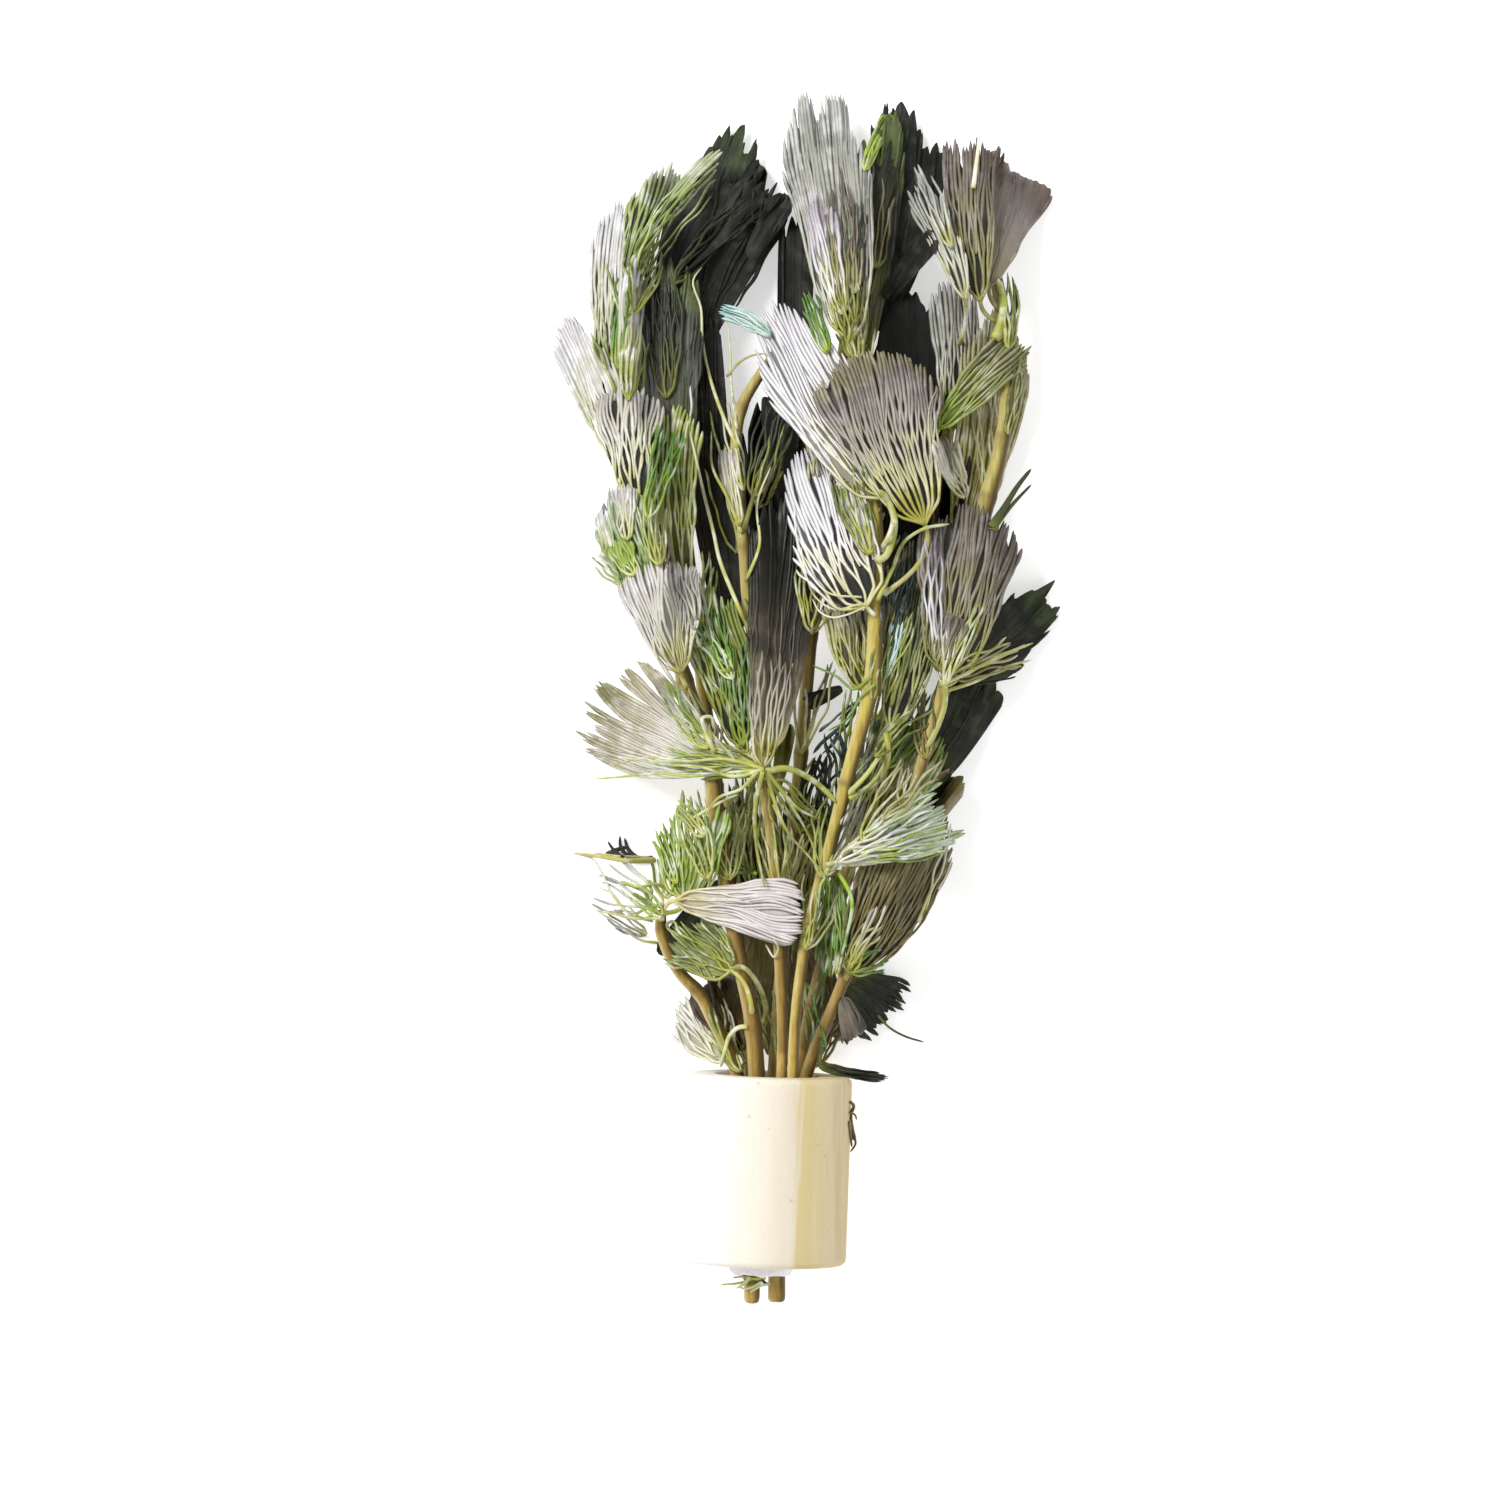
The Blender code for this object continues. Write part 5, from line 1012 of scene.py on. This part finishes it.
def strand_paths(leaf, habit, draw, count, rows):
    """How the strands of a fan run: their share along it and their place across, as (strands, rows).

    Strands leave the foot as one bundle and part level by level: at each level a strand moves from the
    old middle of its group to the new one by 3t^2 - 2t^3, and its group wanders as a sine whose half
    wave is sway_length of the fan's length.
    Further out neighbours sway against each other as sines, so that they touch and part in turn and
    leave a net. Tips end unevenly: short of the rim by torn times a power of a random share that a
    finger's strands have in common, and more towards the sides. Those of one finger draw together."""
    jitter, new_finger, tear_power, tear_spread = 0.35, 0.28, 1.5, 0.45
    outermost, side_tear = 0.85, 0.6
    main_spacing, fewest, most = 2.6, 4, 8
    sway_length, crossing, past_edge = 0.35, 0.4, 1.04
    number = np.arange(count)
    place = (2 * number + 1) / count - 1 + draw.uniform(-jitter, jitter, count) / count
    finger = np.cumsum(draw.uniform(0, 1, count) < new_finger)
    length = draw.uniform(0, 1, count)[finger] ** tear_power + draw.uniform(0, tear_spread, count)
    length += side_tear * draw.uniform(0, 1, count) * (np.abs(place) > outermost)
    end = leaf.rim_at(place) - habit["torn"] * length
    along = end[:, None] * np.linspace(0, 1, rows)
    main = habit["main"] or int(np.clip(round(leaf.width / main_spacing), fewest, most))
    across = np.zeros_like(along)
    group = np.zeros(count, int)
    middle = np.zeros(count)
    for level, wanted in enumerate((main, 2 * main, 4 * main, count)):
        fork = FORKS[level] + FORK_SPREAD[level] * draw.uniform(-1, 1, count)[group]
        group = number * min(wanted, count) // count
        own = mean_of_group(group, place) * (1 + 0.7 / min(wanted, count))
        parted = smooth(along, fork[:, None], fork[:, None] + FORK_REACH[level])
        across += (own - middle)[:, None] * parted
        sway = draw.uniform(-0.5, 0.5, count)[group] / min(wanted, count)
        across += sway[:, None] * np.sin(np.pi * (along - fork[:, None]) / sway_length) * parted
        middle = own
    phase = np.cumsum(draw.normal(0, crossing, count))[:, None]
    turn = 2 * np.pi * along * leaf.length / habit["mesh"] + phase
    closing = smooth(along, habit["close"] - 0.15, habit["close"] + 0.1)
    woven = smooth(along, 0.15, 0.4) * (1 - 0.85 * closing)
    across += habit["weave"] / count * np.where(number % 2, 1, -1)[:, None] * np.sin(turn) * woven
    centre = mean_of_group(finger, place)[:, None]
    across += (centre - across) * habit["gather"] * smooth(along, 0.6, 1.0)
    return along, np.clip(across, -past_edge, past_edge)


def slits(leaf, habit, draw, count, along):
    """How far the slits to the left and right of each strand open, as shares of the strands' spacing.

    A slit is a lens: its opening is deep (1 - ((along - place) / half)^2), and the slits of a fan are
    fewer and narrower towards its rim. Each gap has up to three."""
    each, shortest, longest, most_open = 3, 0.9, 2.4, 0.95
    start = habit["close"] - 0.3
    place = start + (1.0 - start) * draw.uniform(0, 1, (count + 1, each)) ** 1.7
    half = draw.uniform(shortest, longest, place.shape) / leaf.length
    deep = draw.uniform(0.3, 1.0, place.shape) * np.clip(1.35 - 0.9 * place, 0, 1)
    deep *= draw.uniform(0, 1, place.shape) < 0.75 * habit["slits"]
    off = (along[:, None, :] - np.stack([place[:-1], place[1:]])[..., None]) / half[:-1][None, ..., None]
    opening = np.stack([deep[:-1], deep[1:]])[..., None] * np.clip(1 - off**2, 0, None)
    return np.clip(opening.sum(axis=2), 0, most_open)


def fan_strands(heap, leaf, habit, draw):
    """The strands of a fan as flat tubes. Out from where the fan closes they flatten and widen until
    neighbours overlap but for slits, and at their tips they narrow to a point."""
    row_step, thickest, flattened, lift = 0.7, 0.32, 0.14, 0.12
    count = max(6, round(leaf.width / habit["pitch"]))
    rows = int(np.clip(leaf.length / row_step, 14, 42))
    along, across = strand_paths(leaf, habit, draw, count, rows)
    left, right = slits(leaf, habit, draw, count, along)
    kept = draw.uniform(0, 1, count) < habit["share"]
    along, across, left, right = along[kept], across[kept], left[kept], right[kept]
    spacing = 2 * leaf.half_width(along) / count
    closed = smooth(along, habit["close"] - 0.3, habit["close"])
    across = across + (left - right) / 2 * closed / count
    full = np.minimum(spacing, 1.15 * habit["pitch"]) * (habit["filled"] - 0.6 * (left + right))
    width = habit["stout"] * (1.15 - 0.15 * smooth(along, 0, 0.3)) * (1 - closed) + full * closed
    width *= 1 + draw.uniform(-0.15, 0.15, len(along))[:, None] * (1 - closed)
    width *= np.interp(np.linspace(0, 1, rows), [0, 0.92, 0.97, 1], [1, 1, 0.7, 0.2])
    thick = np.minimum(0.75 * width, thickest) * (1 - closed) + flattened * closed
    centre = leaf.at(along, across)
    rise = draw.uniform(-0.08, 0.08, len(along))[:, None] * (1 - 0.5 * closed)
    centre[..., 2] += lift + rise + fold(leaf, along, across)
    tone = draw.uniform(0, 1, len(along))[:, None]
    tone = tone * (1 - closed) + (0.45 + 0.4 * tone) * closed
    painted = {"along": np.maximum(along, habit["tone_from"]), "strand": tone}
    heap.lines(centre, width, thick, 4, **painted, **across_and_run(leaf, along, across))


def across_and_run(leaf, along, across):
    """How far across and along the leaf places are, in millimetres, to be painted on them."""
    return {"side": across * leaf.half_width(along), "run": along * leaf.length}


def fold(leaf, along, across):
    """Soft folds that run out along a fan, as a height: 0.3 along sin(5 across + 2 along + foot's x)."""
    return 0.3 * np.clip(along, 0, 1) * np.sin(5 * across + 2 * along + leaf.foot[0])


def lobes(u, number, draw):
    """How deep a rim is cut at each u. It has about the given number of pointed lobes of uneven width.
    Each is cut back by a depth of its own, and by |v|^1.3 more to both sides of its point, where v runs
    from -1 to 0 to 1 over a lobe."""
    number = max(2, round(number))
    between = np.linspace(-1, 1, number + 1)[1:-1] + draw.uniform(-0.7, 0.7, number - 1) / number
    edges = np.concatenate([[-1.0], np.sort(between), [1.0]])
    which = np.clip(np.searchsorted(edges, u, side="right") - 1, 0, number - 1)
    share = (u - edges[which]) / np.maximum(edges[which + 1] - edges[which], 1e-6)
    peak = draw.uniform(0.25, 0.75, number)[which]
    v = np.where(share < peak, 1 - share / peak, (share - peak) / (1 - peak))
    depth = draw.uniform(0, 0.9, number)
    return (depth - depth.min())[which] + v**1.3


def fan_sheet(heap, leaf, habit, draw):
    """The sheet that closed strands make, and under an open net a dark backing of painted shade: a grid of
    along and across, closed by its own underside.

    Its rim is a row of large pointed lobes with small ones on them: end = rim - torn (0.6 a + 0.6 b),
    where a and b are the depths of the large and the small ones. Ridges follow the strands: each column
    has its own height, which changes slowly along."""
    rows, lobe_width, columns_per_ridge, half_thick = 20, 5, 6, 0.1
    columns = int(leaf.width * 4) + 8
    u = np.linspace(-1, 1, columns)
    cut = 0.6 * lobes(u, leaf.width / lobe_width, draw) + 0.6 * lobes(u, leaf.width / habit["finger"], draw)
    end = leaf.rim_at(u) * habit["sheet_end"] - habit["torn"] * cut
    start = habit["sheet"] * (1 + 0.3 * draw.uniform(-1, 1, columns))
    share = np.linspace(0, 1, rows)[:, None]
    along = start + (end - start) * share
    foot = 0.6 if habit["sheet_lift"] < 0 else 0.9
    across = u * np.interp(along, [0, 0.35], [foot, 0.97])
    coarse = draw.normal(0, 1, (4, columns // columns_per_ridge + 2))
    at = np.linspace(0, coarse.shape[1] - 1, columns)
    broad = np.stack([np.interp(at, np.arange(coarse.shape[1]), row) for row in coarse])
    ridge = 0.6 * draw.normal(0, 1, (4, columns)) + 1.3 * broad
    knots = np.clip(share * 3, 0, 2.999)
    low = knots.astype(int)
    column = np.arange(columns)
    height = ridge[low, column] * (1 - knots + low) + ridge[low + 1, column] * (knots - low)
    middle = leaf.at(along, across)
    middle[..., 2] += habit["sheet_lift"] + habit["ridge"] * height + fold(leaf, along, across)
    half = half_thick * np.minimum(1, 4 * np.minimum(share, 1 - share) + 0.2)[..., None] * (0.0, 0.0, 1.0)
    points = np.concatenate([middle + half, middle - half]).reshape(-1, 3)
    # Higher ridges get a higher strand tone, so they are painted lighter, with more painted glare and less
    # painted shade.
    painted = {"along": np.maximum(along, habit["tone_from"]), "strand": np.clip(0.5 + 0.2 * height, 0, 1)}
    painted.update(across_and_run(leaf, along, across))
    painted = {key: np.concatenate([value, value]).ravel() for key, value in painted.items()}
    index = np.arange(rows * columns).reshape(rows, columns)
    top = np.stack([index[:-1, :-1], index[:-1, 1:], index[1:, 1:], index[1:, :-1]], axis=-1).reshape(-1, 4)
    under = top[:, ::-1] + rows * columns
    border = np.concatenate([index[:, 0][::-1], index[0, 1:], index[1:, -1], index[-1, -2:0:-1]])
    after = np.roll(border, -1)
    wall = np.stack([after, border, border + rows * columns, after + rows * columns], axis=-1)
    # sheet_shade paints the sheet towards the shade tone: under an open net it is painted shade.
    heap.add(points, [top, under, wall], under=habit["sheet_shade"], **painted)


def make_fan(heap, leaf, habit, draw):
    """A fan's sheet, where its habit has one, and the strands on it."""
    if habit["sheet"] < NO_SHEET:
        fan_sheet(heap, leaf, habit, draw)
    fan_strands(heap, leaf, habit, draw)


def stray_strands(heap, leaf, habit, draw):
    """A few thin strands that lie over the fan and cross the others: across moves evenly from one place
    to another, with a slow wave."""
    rows, strand_width, lift = 12, 0.32, 0.32
    count = max(2, round(leaf.width * habit["strays"]))
    start = draw.uniform(0.02, 0.4, count)
    end = np.minimum(start + draw.uniform(0.25, 0.5, count), 0.93)
    gone = (end - start)[:, None] * np.linspace(0, 1, rows)
    along = start[:, None] + gone
    across = draw.uniform(-0.8, 0.8, count)[:, None]
    across = across + draw.uniform(-0.6, 0.6, count)[:, None] * (along - start[:, None])
    across += 0.06 * np.sin(9 * along + draw.uniform(0, 6, count)[:, None])
    across = np.clip(across, -1.0, 1.0)
    width = np.full(along.shape, strand_width)
    width[:, -2:] = (0.24, 0.1)
    centre = leaf.at(along, across)
    centre[..., 2] += lift + fold(leaf, along, across)
    painted = {"along": 0.7 * along, "strand": draw.uniform(0.5, 1.0, count)[:, None]}
    heap.lines(centre, width, 0.7 * width, 4, **painted, **across_and_run(leaf, along, across))


def stem_rows(name):
    """A stem's points (x, y, z, radius), with z read from the solid's corners round each point."""
    corners = node_points("stem_" + name)
    rows = []
    for x, y, radius in STEMS[name]:
        near = np.linalg.norm(corners[:, :2] - (x, y), axis=1) < 1.3 * radius
        rows.append((x, y, (corners[near, 2].max() + corners[near, 2].min()) / 2, radius))
    return np.array(rows)


def leaf_stalk(heap, leaf, stem_height):
    """The leaf's stalk: a nearly round tube that leaves the middle of its stem and thins towards the fan."""
    along = np.linspace(-1, 0.03, 16)[None, :]
    centre = leaf.at(along, np.zeros_like(along))
    out = smooth(along, -1.0, -0.72)
    centre[..., 2] = stem_height * (1 - out) + centre[..., 2] * out
    width = np.interp(along, [-1, -0.8, 0], [1.25, 0.8, 0.7])
    heap.lines(centre, width, 0.85 * width, 8, along=0.02, strand=0.85)


def make_leaf(name, stem, leaves_at, foot, bend, tip, width, slot, skin=None):
    """One leaf as one piece. Its random draws start from its name's letters."""
    draw = np.random.default_rng(sum(ord(c) * (k + 7) for k, c in enumerate(name)))
    leaf = Leaf(name, stem, leaves_at, foot, bend, tip, width)
    habit = {**HABIT, **HABITS.get(name, {})}
    rows = stem_rows(stem)
    heap = Heap()
    leaf_stalk(heap, leaf, np.interp(leaves_at, rows[:, 1], rows[:, 2]))
    make_fan(heap, leaf, habit, draw)
    stray_strands(heap, leaf, habit, draw)
    heap.piece("foliage_" + name, leaf_skin(skin or slot), "leaf_" + slot, "leaf_" + name)


def whorl_sprigs():
    """Thin stalks that leave each joint within a stem's whorls and run on along it, to both sides."""
    draw = np.random.default_rng(5)
    for name, (low, high) in WHORLS.items():
        for joint in JOINTS_ON_STEM[name]:
            if not low < joint < high:
                continue
            here, there = on_stem(name, joint), on_stem(name, joint + 4)
            ahead = (there - here) / np.linalg.norm(there - here)
            side = np.array([ahead[1], -ahead[0]])
            for turn in (-1, 1):
                reach = draw.uniform(11, 19)
                lean = turn * draw.uniform(0.15, 0.4)
                bend = here + 0.5 * reach * (ahead + 1.2 * lean * side)
                tip = here + reach * (ahead + 0.8 * lean * side)
                skin = WHORL_SKINS[draw.integers(4)]
                yield skin, "loose", here, bend, tip, draw.uniform(3.5, 6), WHORL_CEILING


def make_thread(heap, first, last, lift, points):
    """A single strand that lies over the leaves: a smooth line through its points, laid on them."""
    flat = through(points, 4 * len(points) + 8)
    rows = len(flat)
    line = np.column_stack([flat, lie_on(flat, TOP, lift)])[None]
    share = np.linspace(0, 1, rows)[None]
    width = (first + (last - first) * share) * np.interp(share, [0, 0.94, 1], [1, 1, 0.3])
    heap.lines(line, width, 0.8 * width, 8, along=0.05 + 0.35 * share, strand=0.8, run=share * 2 * rows)


def make_small_leaves():
    """Sprigs and threads. All those of one skin are one piece."""
    heaps = {}
    for k, (skin, habit, foot, bend, tip, width, *ceiling) in enumerate([*SPRIGS, *whorl_sprigs()]):
        leaf = Sprig(foot, bend, tip, width, *(ceiling or [TOP]))
        heap = heaps.setdefault(skin, Heap())
        make_fan(heap, leaf, {**HABIT, **SPRIG_HABITS[habit]}, np.random.default_rng(100 + k))
    for skin, *thread in THREADS:
        make_thread(heaps.setdefault(skin, Heap()), *thread)
    slots = {skin: slot for slot, skins in SLOTS.items() for skin in skins}
    for skin, heap in heaps.items():
        heap.piece("sprigs_" + skin, leaf_skin(skin), slots.get(skin, "leaf_silver"))


def make_stem(name, skin, slot):
    """A round stem along its path, which swells at its joints: its radius grows by swelling times
    exp(-(d / swollen)^2), where d is the distance from the nearest joint. A brown ring and a fainter
    stain round it fall off in the same way. Its cut end is rounded, and its tones change over fade."""
    sides, swelling, swollen, ring_width, stain_width, fade = 16, 0.16, 1.1, 0.35, 1.4, 160
    rows = stem_rows(name)
    line = through(rows, int(rows[-1][1] - rows[0][1]) + 2)
    rounding = np.array([0.0, 0.08, 0.3, 0.7])
    first = line[0] + rounding[:, None] * (line[1] - line[0])
    line = np.concatenate([first, line[1:]])
    y = line[:, 1]
    away = np.abs(y[:, None] - np.array(JOINTS_ON_STEM[name])).min(axis=1)
    radius = line[:, 3] * (1 + swelling * np.exp(-((away / swollen) ** 2)))
    radius[:4] *= (0.45, 0.7, 0.9, 0.98)
    ring = 0.4 * np.exp(-((away / ring_width) ** 2)) + 0.15 * np.exp(-((away / stain_width) ** 2))
    heap = Heap()
    # side is the cosine round the stem, which the stem's skin turns into painted shade on the right flank
    # and a painted highlight on the left.
    heap.lines(
        line[None, :, :3], 2 * radius[None], 2 * radius[None], sides,
        along=y[None] / fade, under=ring[None], strand=0.5,
        side=np.cos(2 * np.pi * np.arange(sides) / sides)[None, None, :],
    )
    heap.piece("stalk_" + name, skin, slot, "stem_" + name)


def turned(profile, sides):
    """A closed outline (rows of radius and y) turned about the ring's axis: x = r sin a and
    z = R - r cos a, where R is the ring's radius, so that the ring rests on the surface."""
    angle = 2 * np.pi * np.arange(sides) / sides
    radius, y = profile[:, :1], profile[:, 1:]
    points = np.stack([radius * np.sin(angle), y + 0 * angle, RING_RADIUS - radius * np.cos(angle)], axis=-1)
    here = np.arange(len(profile) * sides).reshape(-1, sides)
    there = np.roll(here, -1, axis=0)
    faces = np.stack([there, np.roll(there, -1, axis=1), np.roll(here, -1, axis=1), here], axis=-1)
    return points.reshape(-1, 3), faces.reshape(-1, 4)


def arc(middle, radius, start, end, count):
    """Points on a circle's arc between two angles in degrees."""
    angle = np.radians(np.linspace(start, end, count))
    return np.column_stack([middle[0] + radius * np.cos(angle), middle[1] + radius * np.sin(angle)])


def make_ring():
    """The ring: a wall between the bore and the outside, its edges rounded by quarter arcs."""
    edge = RING_RADIUS - RING_ROUNDING
    bore_edge = RING_BORE + BORE_ROUNDING
    profile = np.concatenate([
        arc((bore_edge, BORE_ROUNDING), BORE_ROUNDING, 180, 270, 4),
        arc((edge, RING_ROUNDING), RING_ROUNDING, 270, 360, 7),
        np.column_stack([np.full(9, RING_RADIUS), np.linspace(4, RING_LENGTH - 4, 9)]),
        arc((edge, RING_LENGTH - RING_ROUNDING), RING_ROUNDING, 0, 90, 7),
        arc((bore_edge, RING_LENGTH - BORE_ROUNDING), BORE_ROUNDING, 90, 180, 4),
    ])
    points, faces = turned(profile, 128)
    heap = Heap()
    heap.add(points, [faces])
    heap.piece("bisque_ring", bisque_skin(), "clay", "ceramic_ring")


def make_foam():
    """The foam: a plug turned about the ring's axis, whose skin rises and falls by a sum of waves where
    it is free of the bore. Its two ends are closed by small caps at the axis."""
    sides = 72
    reach = RING_BORE - 0.2
    profile = np.concatenate([
        [(0.02, -1.9), (2.0, -2.05), (3.4, -2.0)],
        arc((4.2, -0.9), 1.1, 270, 330, 5),
        [(5.8, 0.3), (6.6, 1.0), (7.4, 1.8), (reach, 2.6)],
        np.column_stack([np.full(8, reach), np.linspace(5, 25, 8)]),
        [(reach - 0.8, 27.0), (4.0, 27.2), (0.02, 27.0)],
    ])
    points, faces = turned(profile, sides)
    away = np.column_stack([points[:, 0], points[:, 2] - RING_RADIUS])
    radius = np.linalg.norm(away, axis=1)
    angle = np.arctan2(away[:, 0], away[:, 1])
    wave = 0.12 * np.sin(5 * angle + points[:, 1]) + 0.06 * np.sin(11 * angle - 2 * points[:, 1])
    free = np.clip((2.6 - points[:, 1]) / 3, 0, 1) * np.clip(radius / 4, 0, 1)
    points[:, 1] += wave * free
    near = np.arange(sides)[None, :]
    far = near[:, ::-1] + (len(profile) - 1) * sides
    heap = Heap()
    heap.add(points, [faces[:-sides], near, far])
    heap.piece("foam_filling", foam_skin(), "foam", "foam_plug")


def make_camera():
    """The camera looks straight down from one metre, turned by the two degrees that the ring leans."""
    data = bpy.data.cameras.new("camera")
    data.sensor_width = 36.0
    data.lens = 143.4
    data.clip_start = 0.05
    data.clip_end = 10.0
    camera = bpy.data.objects.new("camera", data)
    place = set_in_row([-4.76, 84.4, 0.0])
    camera.location = (place[0], place[1], 1.0)
    camera.rotation_euler = (0.0, 0.0, math.radians(2.0))
    bpy.context.scene.collection.objects.link(camera)
    bpy.context.scene.camera = camera


def make_light(name, place, size, power, tint):
    """A soft round light that points at the middle of the row's frame."""
    data = bpy.data.lights.new(name, "AREA")
    data.shape = "DISK"
    data.size = size
    data.energy = power
    data.color = tint
    light = bpy.data.objects.new(name, data)
    light.location = place
    light.rotation_euler = (-Vector(place)).to_track_quat("-Z", "Y").to_euler()
    bpy.context.scene.collection.objects.link(light)


def make_studio():
    """A plain white floor, one large soft light from the upper left, a weak fill and a pale surround.

    The floor is matt paper, pressed flat, and glows a little so that it is as white as the photograph's."""
    material, tree, place = new_material("white_paper_floor")
    # Paper fibre is far too fine to show, so it is drawn at 1 mm.
    fibre = add(tree, "TexNoise", [place, 1 / (1 * MM)])
    tones = add(tree, "ValToRGB", [fibre], [(0.0, "#FAFAFA"), (1.0, "#FEFEFE")])
    shader = dress(tree, tones, (0.9, 0.5))
    shader.inputs["Emission Color"].default_value = linear("#FFFFFF")
    shader.inputs["Emission Strength"].default_value = 0.5
    half = 3.0
    corners = [(-half, -half, 0), (half, -half, 0), (half, half, 0), (-half, half, 0)]
    mesh = bpy.data.meshes.new("floor")
    mesh.from_pydata(corners, [], [(0, 1, 2, 3)])
    mesh.materials.append(material)
    floor = bpy.data.objects.new("floor", mesh)
    bpy.context.scene.collection.objects.link(floor)
    make_light("key", (-0.7, 0.55, 1.1), size=0.6, power=17.0, tint=(1.0, 0.99, 0.98))
    make_light("fill", (0.9, -0.5, 0.9), size=1.0, power=2.5, tint=(0.98, 0.99, 1.0))
    world = bpy.data.worlds.new("surround")
    world.use_nodes = True
    surround = world.node_tree.nodes["Background"]
    surround.inputs["Color"].default_value = linear("#FFFFFF")
    surround.inputs["Strength"].default_value = 0.5
    bpy.context.scene.world = world
    bpy.context.scene.view_settings.view_transform = "Standard"


def main():
    """Makes every piece, then the camera and the studio."""
    for leaf in LEAVES:
        make_leaf(*leaf)
    make_small_leaves()
    tan = stem_skin("tan", "#96742F", "#B4A85A", "#D4C48C")
    green = stem_skin("green", "#B39848", "#CDBC56", "#E6DA94")
    for name in STEMS:
        fresh = name == "middle_main"
        make_stem(name, green if fresh else tan, "stem_green" if fresh else "stem_tan")
    make_ring()
    make_foam()
    make_camera()
    make_studio()


main()
